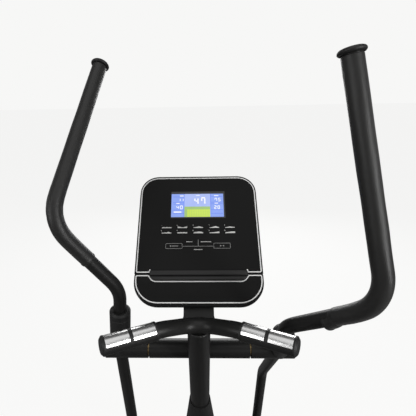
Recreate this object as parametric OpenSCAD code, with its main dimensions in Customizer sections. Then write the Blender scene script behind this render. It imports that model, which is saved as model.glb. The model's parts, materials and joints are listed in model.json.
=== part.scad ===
// Rear-drive elliptical trainer with two swing arms, a fixed pulse handlebar and a console.
// Axes: +X to the user's right, +Y the way the user faces, +Z up.
// The origin is on the floor, under the middle of the machine at rest.

/* [Swing arms] */
// Height of the swing-arm axle above the floor
axle_h = 910; // [880:5:960]
// Distance of each arm's plane from the middle of the machine
arm_x = 213; // [205:1:240]
// Lean of the arm from vertical at mid swing, top towards the user
arm_lean = 23.7; // [20:0.1:27]
// Distance from the axle to the first bend of the upper arm
first_bend_d = 205; // [190:1:225]
// Inward shift of the first bend from the arm's plane
first_bend_in = 21.4; // [10:0.1:26]
// Widest point of the upper arm, measured from the middle of the machine
arm_wide_x = 312.5; // [290:0.5:380]
// Height of the widest point above the axle at mid swing
arm_wide_z = 371.5; // [340:0.5:400]
// Distance of the widest point from the axle towards the user
arm_wide_y = 194; // [160:1:210]
// Distance of the arm's tip from the middle of the machine
arm_tip_x = 239.4; // [225:0.1:300]
// Height of the arm's tip above the axle at mid swing
arm_tip_z = 739.9; // [700:0.1:800]
// Distance of the arm's tip from the axle towards the user
arm_tip_y = 23.7; // [0:0.1:60]
// Distance from the axle down to the bend in the lower arm
lower_bend_d = 320; // [280:5:360]
// Height of the lower arm's pivot above the floor at mid swing
pivot_h = 270; // [255:5:290]
// Outer diameter of the arm tubes
arm_tube_d = 32; // [28:0.5:36]
// Outer diameter of the foam grips
foam_d = 35; // [34:0.5:42]
// Distance from the first bend to the start of the foam
foam_start_d = 114; // [100:1:130]
// Outer diameter of the cover on the arm's joint
sleeve_d = 53; // [50:0.5:58]
// Length of the joint cover above the axle
sleeve_len = 142; // [120:1:160]
// Diameter of the flange on the grip's end cap
tip_cap_d = 44.5; // [42:0.5:52]

/* [Axle and post] */
// Outer diameter of the cross axle tube and of the arm hubs
hub_d = 50; // [46:0.5:56]
// Half length of the cross axle tube
cross_axle_half = 133; // [125:1:140]
// Diameter of the steel shaft that carries both arms
shaft_d = 25; // [20:0.5:28]
// Outer diameter of the post
post_d = 54; // [44:0.5:56]
// Lean of the post from vertical, top towards the user
post_lean = 17.4; // [14:0.1:20]
// Distance of the post's centre line from the axle, towards the user
post_back = 50; // [48:0.5:56]
// Height of the top of the mast that holds the post
mast_top_h = 600; // [560:5:640]
// Height of the top of the cover round the post's joint
post_cover_h = 734; // [700:2:780]
// Length of the cover round the post's joint
post_cover_len = 330; // [300:5:340]

/* [Handlebar] */
// Outer diameter of the handlebar tube
bar_tube_d = 35; // [30:0.5:37]
// Height of the handlebar's middle bend above the axle
bar_mid_z = 137; // [130:1:150]
// Distance of the inner end of each pulse grip from the middle
grip_in_x = 91.5; // [85:0.5:100]
// Distance of the inner end of each pulse grip from the axle towards the user
grip_in_y = 155; // [145:1:165]
// Height of the inner end of each pulse grip above the axle
grip_in_z = 172.8; // [165:0.1:180]
// Distance of the outer end of each pulse grip from the middle
grip_out_x = 188.3; // [180:0.1:205]
// Distance of the outer end of each pulse grip from the axle towards the user
grip_out_y = 208.8; // [200:0.1:225]
// Height of the outer end of each pulse grip above the axle
grip_out_z = 179.6; // [170:1:190]
// Outer diameter of the pulse grips
pulse_grip_d = 39; // [37:0.5:42]

/* [Console] */
// Width of the console's face
console_w = 318; // [290:1:340]
// Height of the console's face, along its slope
console_h = 358.5; // [320:1:380]
// Corner radius of the console's face
console_corner = 50; // [40:1:60]
// Tilt of the face from vertical, top away from the user
console_tilt = 44.3; // [35:0.1:50]
// Distance of the ledge line from the axle towards the user
console_y = 21; // [15:1:30]
// Height of the ledge line above the axle
console_z = 219; // [210:1:230]
// Length of the face below the ledge line
console_below = 64; // [55:0.5:70]
// Depth of the console's casing behind its face
console_depth = 50; // [44:1:60]
// Width of the display window
display_w = 146; // [130:1:160]
// Height of the display window
display_h = 80; // [70:1:90]
// Width of the neck bracket under the console
neck_w = 73.5; // [58:1:74]

/* [Drive] */
// Distance from the axle back to the crank's centre
crank_back = 657; // [640:1:700]
// Height of the crank's centre above the floor
crank_h = 330; // [320:1:350]
// Crank radius, which is half the stride
crank_r = 146; // [120:1:150]
// Radius of the crank pulley
pulley_r = 140; // [110:1:142]
// Radius of the flywheel
flywheel_r = 125; // [100:1:130]
// Width of the flywheel
flywheel_w = 25; // [18:1:30]
// Distance from the crank's centre back to the flywheel's centre
flywheel_back = 200; // [190:1:215]
// Height of the flywheel's centre above the floor
flywheel_h = 290; // [275:1:300]
// Width of the drive housing
housing_w = 150; // [140:1:156]
// Wall of the housing and of the other plastic shells
shell_wall = 3; // [2:0.5:4]
// Distance of each pedal bar from the middle of the machine
bar_x = 170; // [166:1:174]
// Width of a foot plate
plate_w = 134; // [120:1:144]
// Length of a foot plate
plate_len = 340; // [300:1:360]

/* [Base] */
// Width of the spine beam
spine_w = 80; // [60:1:90]
// Height of the spine beam's section
spine_h = 40; // [30:1:50]
// Outer diameter of the stabilizer tubes
stabilizer_d = 50; // [44:1:54]
// Height of the stabilizer tubes' centre above the floor
stabilizer_h = 45; // [40:1:50]
// Length of the front stabilizer with its caps
front_stabilizer_len = 540; // [500:5:640]
// Length of the rear stabilizer with its caps
rear_stabilizer_len = 480; // [440:5:600]
// Radius of the transport wheels
transport_r = 30; // [25:1:32]

/* [Hidden] */
$fn = 64;
weld_gap = 0.05;
run_gap = 0.05;
face_gap = 0.5;
snug_gap = 0.1;
foam_gap = 0.25;
bend_swell = 0.08;
bend_lap = 1;
tangent_lap = 0.05;
arc_steps = 40;
tube_wall = 2.5;
black_steel = [0.10, 0.10, 0.105];
black_plastic = [0.07, 0.07, 0.075];
foam_black = [0.06, 0.06, 0.06];
bright_steel = [0.75, 0.75, 0.76];
zinc = [0.62, 0.63, 0.65];

// Frame places.
wheel_ahead = transport_r + stabilizer_d / 2 + 7;
stabilizer_ahead = 34;
spine_z = stabilizer_h + stabilizer_d / 2;
spine_top = spine_z + spine_h;
post_drop = (axle_h - spine_top) * tan(post_lean) - post_back;
front_reach = post_drop + stabilizer_ahead + wheel_ahead + transport_r;
housing_front_r = max(pulley_r, flywheel_r) + 38;
housing_rear_r = flywheel_r + 30;
rear_reach = crank_back + flywheel_back + housing_rear_r;
axle_y = (rear_reach - front_reach) / 2;
crank_y = axle_y - crank_back;
flywheel_y = crank_y - flywheel_back;
front_stabilizer_y = axle_y + post_drop + stabilizer_ahead;
rear_stabilizer_y = flywheel_y - 100;

// Arm shape at mid swing, measured from the axle, for the right arm.
first_bend = [arm_x - first_bend_in, -first_bend_d * sin(arm_lean), first_bend_d * cos(arm_lean)];
arm_wide = [arm_wide_x, -arm_wide_y, arm_wide_z];
arm_tip = [arm_tip_x, -arm_tip_y, arm_tip_z];
lower_bend = [arm_x, lower_bend_d * sin(arm_lean), -lower_bend_d * cos(arm_lean)];
lower_tilt = -1;
lower_len = (axle_h - pivot_h + lower_bend[2]) / cos(lower_tilt);
lower_pivot = lower_bend + lower_len * [0, sin(lower_tilt), -cos(lower_tilt)];
first_bend_r = 100;
wide_bend_r = 90;
lower_bend_r = 110;
tip_cap_t = 9;
tip_cap_plug = 25;

// Linkage: the pedal bar joins the crank pin to the lower end of the arm.
pivot_radius = norm([lower_pivot[1], lower_pivot[2]]);
pivot_angle = atan2(lower_pivot[1], -lower_pivot[2]);
bar_len = norm([axle_y + lower_pivot[1] - crank_y, axle_h + lower_pivot[2] - crank_h]);
function pin_place(side) = [crank_y + side * crank_r, crank_h];
function pivot_place(side) =
    let (pin = pin_place(side), axle = [axle_y, axle_h])
    let (apart = norm(pin - axle), toward = (pin - axle) / apart)
    let (along = (pow(pivot_radius, 2) - pow(bar_len, 2) + pow(apart, 2)) / (2 * apart))
    let (across = sqrt(pow(pivot_radius, 2) - pow(along, 2)))
    axle + along * toward + across * [-toward[1], toward[0]];
function rest_swing(side) =
    let (p = pivot_place(side))
    pivot_angle - atan2(p[0] - axle_y, axle_h - p[1]);
function bar_slope(side) =
    let (p = pivot_place(side), q = pin_place(side))
    atan2(p[1] - q[1], p[0] - q[0]);

// Hub and joint sizes.
bush_t = 4;
bush_len = 24;
bush_flange_t = 3;
hub_in_x = cross_axle_half + 4;
hub_out_x = arm_x + sleeve_d / 2 + 1;
shaft_half = hub_out_x + 1;
washer_t = 3;
washer_r = 20;
screw_head_t = 6;
screw_head_r = 8.5;
m8_r = 4;
m8_head_r = 6.5;
m8_head_t = 5;
m8_hole_r = 4.2;
socket_len = sleeve_len - 12;
socket_wall = 3.5;
upper_arm_start = 45;

// Crank and pedal bar sizes.
crank_axle_r = 10;
crank_t = 14;
crank_w = 36;
crank_in_x = housing_w / 2 + 9;
pin_r = 10;
bar_w = 30;
bar_h = 50;
bar_boss_r = 22;
bar_boss_half = 20;
bar_front_x = arm_x - 18.5;
pivot_boss_half = 18;
bolt_seat_t = 6;
plate_from_pin = 90;
plate_t = 8;
plate_rim_t = 5;
plate_rim_h = 26;
plate_rim_front_h = 38;
plate_x = bar_x + 13;
plate_corner = 30;
bearing_r = 23.5;
bearing_w = 14;
bracket_x = 46;
bracket_t = 6;
drive_plane_x = 22;
drive_belt_w = 10;
pulley_w = 14;
small_pulley_r = 15;
belt_t = 3;
belt_gap = 0.3;
flywheel_axle_r = 6;
magnet_gap = 3;
magnet_t = 9;
magnet_from = 100;
magnet_to = 200;

// Console places, in the console's own frame: x across, y up the face, z out of the face.
console_low_corner = 60;
face_t = 5;
rim_depth = 22;
panel_split = 14;
split_gap = 2;
ledge_half = 121;
ledge_low_half = 120;
ledge_top = 23;
ledge_low = -2;
ledge_out = 11;
ledge_corner = 16;
slot_low = 5;
slot_h = 6;
slot_floor = -2;
ridge_out = 4;
display_y = 206;
display_t = 7;
neck_depth = 22;
neck_t = 4;
neck_top = 110;
neck_low = -104;
neck_flare = 105;
neck_flare_h = 10;
neck_fillet = 14;
key_t = 3;
key_gap = 0.4;
outlined_key = [44, 16];
small_key = [24, 9];
wide_key = [30, 9];
board = [240, 200, 1.6];
board_y = 150;
board_z = -16;
board_boss_r = 5;
chip = [60, 30, 4];
connector = [120, 12, 5];
key_proud = 0.4;
console_screw_r = 2;

// ---- Shared shapes ----

function unit(v) = v / norm(v);
function bend_angle(a, b, c) = acos(unit(b - a) * unit(c - b));
function bend_trim(a, b, c, r) = r * tan(bend_angle(a, b, c) / 2);
function mirrored(p, side) = [side * p[0], p[1], p[2]];

// A straight ring or rod from p to q.
module rod(p, q, r, hole = 0) {
    d = q - p;
    translate(p)
        rotate([0, acos(d[2] / norm(d)), atan2(d[1], d[0])])
        difference() {
            cylinder(h = norm(d), r = r);
            if (hole > 0) translate([0, 0, -1]) cylinder(h = norm(d) + 2, r = hole);
        }
}

// A round elbow that joins the line a-b to the line b-c.
module elbow(a, b, c, bend_r, r) {
    u = unit(b - a);
    w = unit(c - b);
    inward = unit(w - u * (u * w));
    across = cross(-inward, u);
    mid = b - u * bend_trim(a, b, c, bend_r) + inward * bend_r;
    multmatrix([[-inward[0], u[0], across[0], mid[0]],
                [-inward[1], u[1], across[1], mid[1]],
                [-inward[2], u[2], across[2], mid[2]],
                [0, 0, 0, 1]])
        rotate_extrude(angle = bend_angle(a, b, c))
        translate([bend_r, 0]) circle(r = r);
}

// A rod through a list of corners, each inner corner rounded by its own bend radius.
module bent_rod(points, bends, r, grow, ends = 0) {
    last = len(points) - 1;
    function start_trim(i) = i == 0 ? -ends
        : bend_trim(points[i - 1], points[i], points[i + 1], bends[i - 1]) - bend_lap;
    function end_trim(i) = i == last - 1 ? -ends
        : bend_trim(points[i], points[i + 1], points[i + 2], bends[i]) - bend_lap;
    for (i = [0 : last - 1]) {
        along = unit(points[i + 1] - points[i]);
        rod(points[i] + along * start_trim(i), points[i + 1] - along * end_trim(i), r);
    }
    for (i = [1 : last - 1])
        elbow(points[i - 1], points[i], points[i + 1], bends[i - 1], r + grow);
}

// A tube through a list of corners. A bent tube swells slightly at its bends.
module bent_tube(points, bends, r, hole) difference() {
    bent_rod(points, bends, r, bend_swell);
    bent_rod(points, bends, hole, -bend_swell, 1);
}

// A turned shape along the line from p towards q. The profile holds [radius, distance] pairs.
module turned(p, q, profile) {
    d = q - p;
    translate(p) rotate([0, acos(d[2] / norm(d)), atan2(d[1], d[0])]) rotate_extrude() polygon(profile);
}

// A cylinder along X that starts at x0.
module x_rod(x0, y, z, len, r) translate([x0, y, z]) rotate([0, 90, 0]) cylinder(h = len, r = r);

// A cylinder along X between two places, in either order.
module x_span(xa, xb, y, z, r) x_rod(min(xa, xb), y, z, abs(xb - xa), r);

// A flat outline in Y and Z, given its thickness along X.
module side_plate(x0, t) translate([x0, 0, 0]) rotate([90, 0, 90]) linear_extrude(height = t) children();

// Two circles and their outer tangents.
module loop_outline(c1, r1, c2, r2) {
    facing = atan2(c2[1] - c1[1], c2[0] - c1[0]);
    spread = acos((r1 - r2) / norm(c2 - c1));
    translate(c1) circle(r = r1);
    translate(c2) circle(r = r2);
    polygon([for (corner = [[c1, r1, spread], [c2, r2, spread], [c2, r2, -spread], [c1, r1, -spread]])
        corner[0] + (corner[1] + tangent_lap) * [cos(facing + corner[2]), sin(facing + corner[2])]]);
}

// The same outline as one ring of points.
function arc_points(c, r, from, to) = [for (i = [0 : arc_steps])
    let (turn = from + (to - from) * i / arc_steps)
    c + r * [cos(turn), sin(turn)]];
function loop_points(c1, r1, c2, r2) =
    let (facing = atan2(c2[1] - c1[1], c2[0] - c1[0]), spread = acos((r1 - r2) / norm(c2 - c1)))
    concat(arc_points(c1, r1, facing + spread, facing + 360 - spread),
           arc_points(c2, r2, facing - spread, facing + spread));

// A rectangle with round corners, centred.
module rounded_outline(w, h, r) {
    square([w - 2 * r, h], center = true);
    square([w, h - 2 * r], center = true);
    for (x = [-1, 1], y = [-1, 1]) translate([x * (w / 2 - r), y * (h / 2 - r)]) circle(r = r);
}

// A hexagon-headed screw along +Z, head on top of z = 0 and shank below.
module screw(shank_r, shank_len, head_r, head_t) {
    cylinder(h = head_t, r = head_r, $fn = 6);
    translate([0, 0, -shank_len]) cylinder(h = shank_len + 1, r = shank_r);
}

// ---- Base ----

stabilizer_bolt_x = 25;
module stabilizer_bolt_places() for (y = [front_stabilizer_y, rear_stabilizer_y], side = [-1, 1])
    translate([side * stabilizer_bolt_x, y, 0]) children();

// The spine runs this far past the middle of each stabilizer.
spine_past = 30;
module spine_beam() color(black_steel) difference() {
    spine_len = front_stabilizer_y - rear_stabilizer_y + 2 * spine_past;
    translate([-spine_w / 2, rear_stabilizer_y - spine_past, spine_z]) cube([spine_w, spine_len, spine_h]);
    translate([-spine_w / 2 + shell_wall, rear_stabilizer_y - spine_past - 1, spine_z + shell_wall])
        cube([spine_w - 2 * shell_wall, spine_len + 2, spine_h - 2 * shell_wall]);
    stabilizer_bolt_places() cylinder(h = spine_top + 1, r = m8_hole_r);
}

cap_len = 34;
socket_deep = 10;
module stabilizer_tube(y, len) {
    half = len / 2 - cap_len + socket_deep;
    difference() {
        x_span(-half, half, y, stabilizer_h, stabilizer_d / 2);
        x_span(-half - 1, half + 1, y, stabilizer_h, stabilizer_d / 2 - tube_wall);
    }
}
module stabilizer_tubes() color(black_steel) difference() {
    union() {
        stabilizer_tube(front_stabilizer_y, front_stabilizer_len);
        stabilizer_tube(rear_stabilizer_y, rear_stabilizer_len);
    }
    stabilizer_bolt_places() cylinder(h = spine_top, r = m8_hole_r);
}

module stabilizer_bolt() translate([0, 0, spine_top]) {
    screw(m8_r, spine_top - stabilizer_h + stabilizer_d / 2 + 8, m8_head_r, m8_head_t);
    translate([0, 0, -spine_top + stabilizer_h - stabilizer_d / 2 - 6.2])
        cylinder(h = 6, r = m8_head_r, $fn = 6);
}

cap_r = stabilizer_d / 2 + 4;
module end_cap(edge, y) {
    out = sign(edge);
    translate([edge - out * cap_len, y, stabilizer_h]) rotate([0, out * 90, 0]) {
        cylinder(h = cap_len - 4, r = cap_r);
        translate([0, 0, cap_len - 4.01]) cylinder(h = 4, r1 = cap_r, r2 = cap_r - 4);
    }
}
module cap_socket(edge, y)
    x_span(edge - sign(edge) * (cap_len + 20), edge - sign(edge) * (cap_len - socket_deep - snug_gap),
        y, stabilizer_h, stabilizer_d / 2 + snug_gap);

// Front cap: a foot pad below and a fork ahead that carries the transport wheel.
fork_half = 15;
fork_t = 5;
fork_h = 24;
fork_from = 8;
wheel_w = 22;
axle_pin_r = 4;
wheel_h = transport_r + 3;
wheel_x = front_stabilizer_len / 2 - cap_len / 2 - 4;
pad_w = 26;
pad_deep = 30;
module front_end_cap(side) {
    edge = side * front_stabilizer_len / 2;
    wheel_y = front_stabilizer_y + wheel_ahead;
    difference() {
        union() {
            end_cap(edge, front_stabilizer_y);
            translate([edge - side * (cap_len / 2) - pad_w / 2, front_stabilizer_y - pad_deep / 2, 0])
                cube([pad_w, pad_deep, stabilizer_h]);
            for (half = [-1, 1])
                translate([side * wheel_x + half * fork_half - fork_t / 2,
                    front_stabilizer_y + fork_from, wheel_h - fork_h / 2])
                cube([fork_t, wheel_ahead, fork_h]);
        }
        cap_socket(edge, front_stabilizer_y);
        x_span(side * wheel_x - fork_half + fork_t / 2, side * wheel_x + fork_half - fork_t / 2,
            wheel_y, wheel_h, transport_r + 2);
    }
    x_span(side * wheel_x - fork_half - fork_t, side * wheel_x + fork_half + fork_t,
        wheel_y, wheel_h, axle_pin_r);
}
module front_end_caps() color(black_plastic) for (side = [-1, 1]) front_end_cap(side);

tyre_shoulder = 3;
tyre_drop = 4;
module transport_wheel(side) color(foam_black) {
    translate([side * wheel_x, front_stabilizer_y + wheel_ahead, wheel_h]) rotate([0, 90, 0])
        translate([0, 0, -wheel_w / 2]) difference() {
            union() {
                translate([0, 0, tyre_shoulder])
                    cylinder(h = wheel_w - 2 * tyre_shoulder, r = transport_r);
                cylinder(h = tyre_shoulder, r1 = transport_r - tyre_drop, r2 = transport_r);
                translate([0, 0, wheel_w - tyre_shoulder])
                    cylinder(h = tyre_shoulder, r1 = transport_r, r2 = transport_r - tyre_drop);
            }
            translate([0, 0, -1]) cylinder(h = wheel_w + 2, r = axle_pin_r + run_gap);
        }
}
module transport_wheel_left() transport_wheel(-1);
module transport_wheel_right() transport_wheel(1);

// Rear cap: a boss that takes the stem of a levelling foot.
stem_r = 5;
foot_r = 22;
foot_boss_r = 13;
foot_boss_low = 14.5;
foot_x = rear_stabilizer_len / 2 - foot_boss_r;
module rear_end_cap(side) {
    edge = side * rear_stabilizer_len / 2;
    difference() {
        union() {
            end_cap(edge, rear_stabilizer_y);
            translate([side * foot_x, rear_stabilizer_y, foot_boss_low])
                cylinder(h = stabilizer_h - foot_boss_low, r = foot_boss_r);
        }
        cap_socket(edge, rear_stabilizer_y);
        translate([side * foot_x, rear_stabilizer_y, foot_boss_low - 1])
            cylinder(h = stabilizer_h - foot_boss_low, r = stem_r + run_gap);
    }
}
module rear_end_caps() color(black_plastic) for (side = [-1, 1]) rear_end_cap(side);

module levelling_foot(side) color(foam_black) translate([side * foot_x, rear_stabilizer_y, 0]) {
    cylinder(h = 3, r1 = foot_r - 2, r2 = foot_r);
    translate([0, 0, 3]) cylinder(h = 7, r = foot_r);
    translate([0, 0, 10]) cylinder(h = 4, r1 = foot_r, r2 = 12);
    translate([0, 0, 13.9]) cylinder(h = stabilizer_h - 18, r = stem_r);
}
module levelling_foot_left() levelling_foot(-1);
module levelling_foot_right() levelling_foot(1);

// ---- Post ----

function post_y(z) = axle_y - post_back + (axle_h - z) * tan(post_lean);
module on_post(z) translate([0, post_y(z), z]) rotate([post_lean, 0, 0]) children();

mast_wall = 3;
mast_r = post_d / 2 + run_gap + mast_wall;
post_bolt_hs = [mast_top_h - 30, mast_top_h - 80];
post_low_h = mast_top_h - 130;
module post_bolt_holes()
    for (z = post_bolt_hs) x_rod(-mast_r - 1, post_y(z), z, 2 * mast_r + 2, m8_hole_r);

module mast() color(black_steel) difference() {
    mast_len = (mast_top_h - spine_top) / cos(post_lean);
    on_post(spine_top) translate([0, 0, -20]) cylinder(h = mast_len + 20, r = mast_r);
    on_post(spine_top) translate([0, 0, -30]) cylinder(h = mast_len + 40, r = post_d / 2 + run_gap);
    translate([-100, post_y(spine_top) - 100, spine_top - 60]) cube([200, 200, 60]);
    post_bolt_holes();
}

// The handlebar's middle bend rests in a saddle cut into the post's top.
function bar_point(p) = [p[0], axle_y - p[1], axle_h + p[2]];
bar_mid_y = 82;
bar_mid_r = 60;
bar_side_r = 100;
bar_side_lead = 14;
grip_in = bar_point([grip_in_x, grip_in_y, grip_in_z]);
grip_out = bar_point([grip_out_x, grip_out_y, grip_out_z]);
bar_mid = bar_point([0, bar_mid_y, bar_mid_z]);
bar_side = grip_in - bar_side_lead * unit(grip_out - grip_in);
bar_corners = [mirrored(grip_out, -1), mirrored(bar_side, -1), bar_mid, bar_side, grip_out];
bar_bends = [bar_side_r, bar_mid_r, bar_side_r];

module handlebar() color(black_steel) bent_tube(bar_corners, bar_bends, bar_tube_d / 2, bar_tube_d / 2 - 2);

// A plug closes the top of the post on both sides of the handlebar.
post_plug_t = 4;
module post() color(black_steel) difference() {
    post_len = (axle_h + bar_mid_z - post_low_h) / cos(post_lean);
    on_post(post_low_h) difference() {
        cylinder(h = post_len, r = post_d / 2);
        translate([0, 0, -1]) cylinder(h = post_len + 1 - post_plug_t, r = post_d / 2 - tube_wall);
    }
    elbow(mirrored(bar_side, -1), bar_mid, bar_side, bar_mid_r, bar_tube_d / 2 + bend_swell + weld_gap);
    on_post(axle_h + bar_mid_z + 12) translate([-50, -50, 0]) cube([100, 100, 60]);
    post_bolt_holes();
}

module post_bolt(z) translate([mast_r + 0.5, post_y(z), z]) rotate([0, 90, 0]) {
    screw(m8_r, 2 * mast_r + 8, m8_head_r, m8_head_t);
    translate([0, 0, -2 * mast_r - 7.2]) cylinder(h = 6, r = m8_head_r, $fn = 6);
}

// Each half of the cover is a half turn of one flared profile.
cover_wall = 2.5;
seam_gap_angle = 0.2;
cover_profile = [[0, 2.8], [-0.38, 16], [-0.7, 24], [-0.9, 27], [-1, 24]];
module post_cover(side) color(black_plastic) on_post(post_cover_h) {
    outer = [for (p = cover_profile) [post_d / 2 + p[1], p[0] * post_cover_len]];
    inner = [for (i = [len(cover_profile) - 1 : -1 : 0]) let (p = cover_profile[i])
        [post_d / 2 + max(p[1] - cover_wall, snug_gap), p[0] * post_cover_len]];
    rotate([0, 0, (side > 0 ? -90 : 90) + seam_gap_angle]) rotate_extrude(angle = 180 - 2 * seam_gap_angle)
        polygon(concat(outer, inner));
}
module post_cover_left() post_cover(-1);
module post_cover_right() post_cover(1);

// ---- Cross axle and its shaft ----

module cross_axle() color(black_steel) difference() {
    plug = 14;
    x_rod(-cross_axle_half, axle_y, axle_h, 2 * cross_axle_half, hub_d / 2);
    x_rod(-cross_axle_half + plug, axle_y, axle_h, 2 * (cross_axle_half - plug), hub_d / 2 - tube_wall);
    x_rod(-cross_axle_half - 1, axle_y, axle_h, 2 * cross_axle_half + 2, shaft_d / 2 + weld_gap);
    on_post(axle_h - 100) cylinder(h = 200, r = post_d / 2 + weld_gap);
}

shaft_thread_deep = 24;
module arm_shaft() color(bright_steel) difference() {
    x_rod(-shaft_half, axle_y, axle_h, 2 * shaft_half, shaft_d / 2);
    for (side = [-1, 1])
        x_span(side * (shaft_half - shaft_thread_deep), side * (shaft_half + 1), axle_y, axle_h, m8_hole_r);
}

module shaft_screw(side) translate([side * shaft_half, axle_y, axle_h]) rotate([0, side * 90, 0]) {
    cylinder(h = washer_t, r = washer_r);
    translate([0, 0, washer_t]) screw(m8_r, shaft_thread_deep - 2, screw_head_r, screw_head_t);
}

// All the bolts of the frame: stabilizers to spine, post to mast, and the two ends of the arm shaft.
module frame_bolts() color(zinc) {
    stabilizer_bolt_places() stabilizer_bolt();
    for (z = post_bolt_hs) post_bolt(z);
    for (side = [-1, 1]) shaft_screw(side);
}

hub_cap_t = 13;
hub_cap_bevel = 4;
module hub_caps() color(black_plastic) for (side = [-1, 1])
    translate([side * (hub_out_x + face_gap), axle_y, axle_h]) rotate([0, side * 90, 0]) difference() {
        union() {
            cylinder(h = hub_cap_t - hub_cap_bevel, r = hub_d / 2);
            translate([0, 0, hub_cap_t - hub_cap_bevel])
                cylinder(h = hub_cap_bevel, r1 = hub_d / 2, r2 = hub_d / 2 - hub_cap_bevel - 1);
        }
        translate([0, 0, -1])
            cylinder(h = shaft_half - hub_out_x + washer_t + 0.6, r = washer_r + snug_gap);
        cylinder(h = hub_cap_t - 2, r = screw_head_r + 2);
    }

// ---- Swing arms ----

module arm_frame(side) translate([0, axle_y, axle_h]) rotate([-rest_swing(side), 0, 0]) children();
module hub_bore(side, r) x_span(side * (hub_in_x - 1), side * (hub_out_x + 1), 0, 0, r);
function on_arm(side, d) = mirrored([arm_x, 0, 0] + d * unit(first_bend - [arm_x, 0, 0]), side);

bush_r = shaft_d / 2 + bush_t;
module lower_arm(side) color(black_steel) arm_frame(side) {
    hub = mirrored([arm_x, 0, 0], side);
    bend = mirrored(lower_bend, side);
    pivot = mirrored(lower_pivot, side);
    bolt_seat = pivot + [side * (pivot_boss_half - bolt_seat_t), 0, 0];
    difference() {
        union() {
            x_span(side * hub_in_x, side * hub_out_x, 0, 0, hub_d / 2);
            rod(on_arm(side, 0), on_arm(side, socket_len), arm_tube_d / 2 + socket_wall);
            bent_rod([hub, bend, pivot], [lower_bend_r], arm_tube_d / 2, bend_swell);
            x_rod(pivot[0] - pivot_boss_half, pivot[1], pivot[2], 2 * pivot_boss_half, bar_boss_r);
        }
        rod(on_arm(side, 0), on_arm(side, socket_len + 1), arm_tube_d / 2 + snug_gap);
        bent_rod([hub, bend, pivot], [lower_bend_r], arm_tube_d / 2 - tube_wall, -bend_swell);
        hub_bore(side, bush_r);
        rod(pivot - [side * (pivot_boss_half + 1), 0, 0], bolt_seat, pin_r);
        rod(bolt_seat - [side, 0, 0], pivot + [side * (pivot_boss_half + 1), 0, 0], m8_hole_r);
    }
}
module lower_arm_left() lower_arm(-1);
module lower_arm_right() lower_arm(1);

// Each hub turns on two bushes. The flange of the inner one fills the gap beside the cross axle.
module arm_bushes(side) color([0.55, 0.42, 0.22]) arm_frame(side) difference() {
    union() {
        x_span(side * hub_in_x, side * (hub_in_x + bush_len), 0, 0, bush_r - weld_gap);
        x_span(side * (hub_in_x - bush_flange_t), side * hub_in_x, 0, 0, bush_r + 2);
        x_span(side * (hub_out_x - bush_len), side * hub_out_x, 0, 0, bush_r - weld_gap);
    }
    hub_bore(side, shaft_d / 2 + run_gap);
    x_span(side * (hub_in_x - bush_flange_t - 1), side * hub_in_x, 0, 0, shaft_d / 2 + run_gap);
}
module arm_bushes_left() arm_bushes(-1);
module arm_bushes_right() arm_bushes(1);

// The joint cover sits on the hub and closes round the upper tube.
sleeve_chamfer = 5;
groove_from = 22;
groove_deep = 1;
module arm_sleeve(side) color(black_plastic) arm_frame(side) difference() {
    sleeve_r = sleeve_d / 2;
    turned(on_arm(side, 0), on_arm(side, sleeve_len), [[0, 0], [sleeve_r, 0],
        [sleeve_r, sleeve_len - groove_from], [sleeve_r - groove_deep, sleeve_len - groove_from + 1],
        [sleeve_r - groove_deep, sleeve_len - groove_from + 2], [sleeve_r, sleeve_len - groove_from + 3],
        [sleeve_r, sleeve_len - sleeve_chamfer], [sleeve_r - sleeve_chamfer, sleeve_len], [0, sleeve_len]]);
    hub_bore(side, hub_d / 2 + weld_gap);
    rod(on_arm(side, -40), on_arm(side, socket_len + snug_gap), arm_tube_d / 2 + socket_wall + weld_gap);
    rod(on_arm(side, 0), on_arm(side, sleeve_len + 1), arm_tube_d / 2 + snug_gap);
}
module arm_sleeve_left() arm_sleeve(-1);
module arm_sleeve_right() arm_sleeve(1);

upper_wall = 1.8;
function tip_back(side, d) =
    mirrored(arm_tip, side) - d * unit(mirrored(arm_tip, side) - mirrored(arm_wide, side));
module upper_arm(side) color(black_steel) arm_frame(side)
    bent_tube([on_arm(side, upper_arm_start), mirrored(first_bend, side), mirrored(arm_wide, side),
        tip_back(side, tip_cap_t / 2 + face_gap)], [first_bend_r, wide_bend_r], arm_tube_d / 2,
        arm_tube_d / 2 - upper_wall);
module upper_arm_left() upper_arm(-1);
module upper_arm_right() upper_arm(1);

module foam_grip(side) color(foam_black) arm_frame(side) {
    bend = mirrored(first_bend, side);
    wide = mirrored(arm_wide, side);
    bent_tube([bend + foam_start_d * unit(wide - bend), wide, tip_back(side, tip_cap_t / 2 + face_gap)],
        [wide_bend_r], foam_d / 2, arm_tube_d / 2 + foam_gap);
}
module foam_grip_left() foam_grip(-1);
module foam_grip_right() foam_grip(1);

module grip_cap(side) color(black_plastic) arm_frame(side) {
    low = tip_back(side, tip_cap_t / 2);
    d = mirrored(arm_tip, side) - low;
    translate(low) rotate([0, acos(d[2] / norm(d)), atan2(d[1], d[0])]) {
        cylinder(h = tip_cap_t / 2, r1 = tip_cap_d / 2 - 2.5, r2 = tip_cap_d / 2);
        translate([0, 0, tip_cap_t / 2])
            cylinder(h = tip_cap_t / 2, r1 = tip_cap_d / 2, r2 = tip_cap_d / 2 - 3.5);
        translate([0, 0, -tip_cap_plug])
            cylinder(h = tip_cap_plug + 1, r = arm_tube_d / 2 - upper_wall - snug_gap);
    }
}
module grip_cap_left() grip_cap(-1);
module grip_cap_right() grip_cap(1);

// ---- Pulse grips ----

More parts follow.
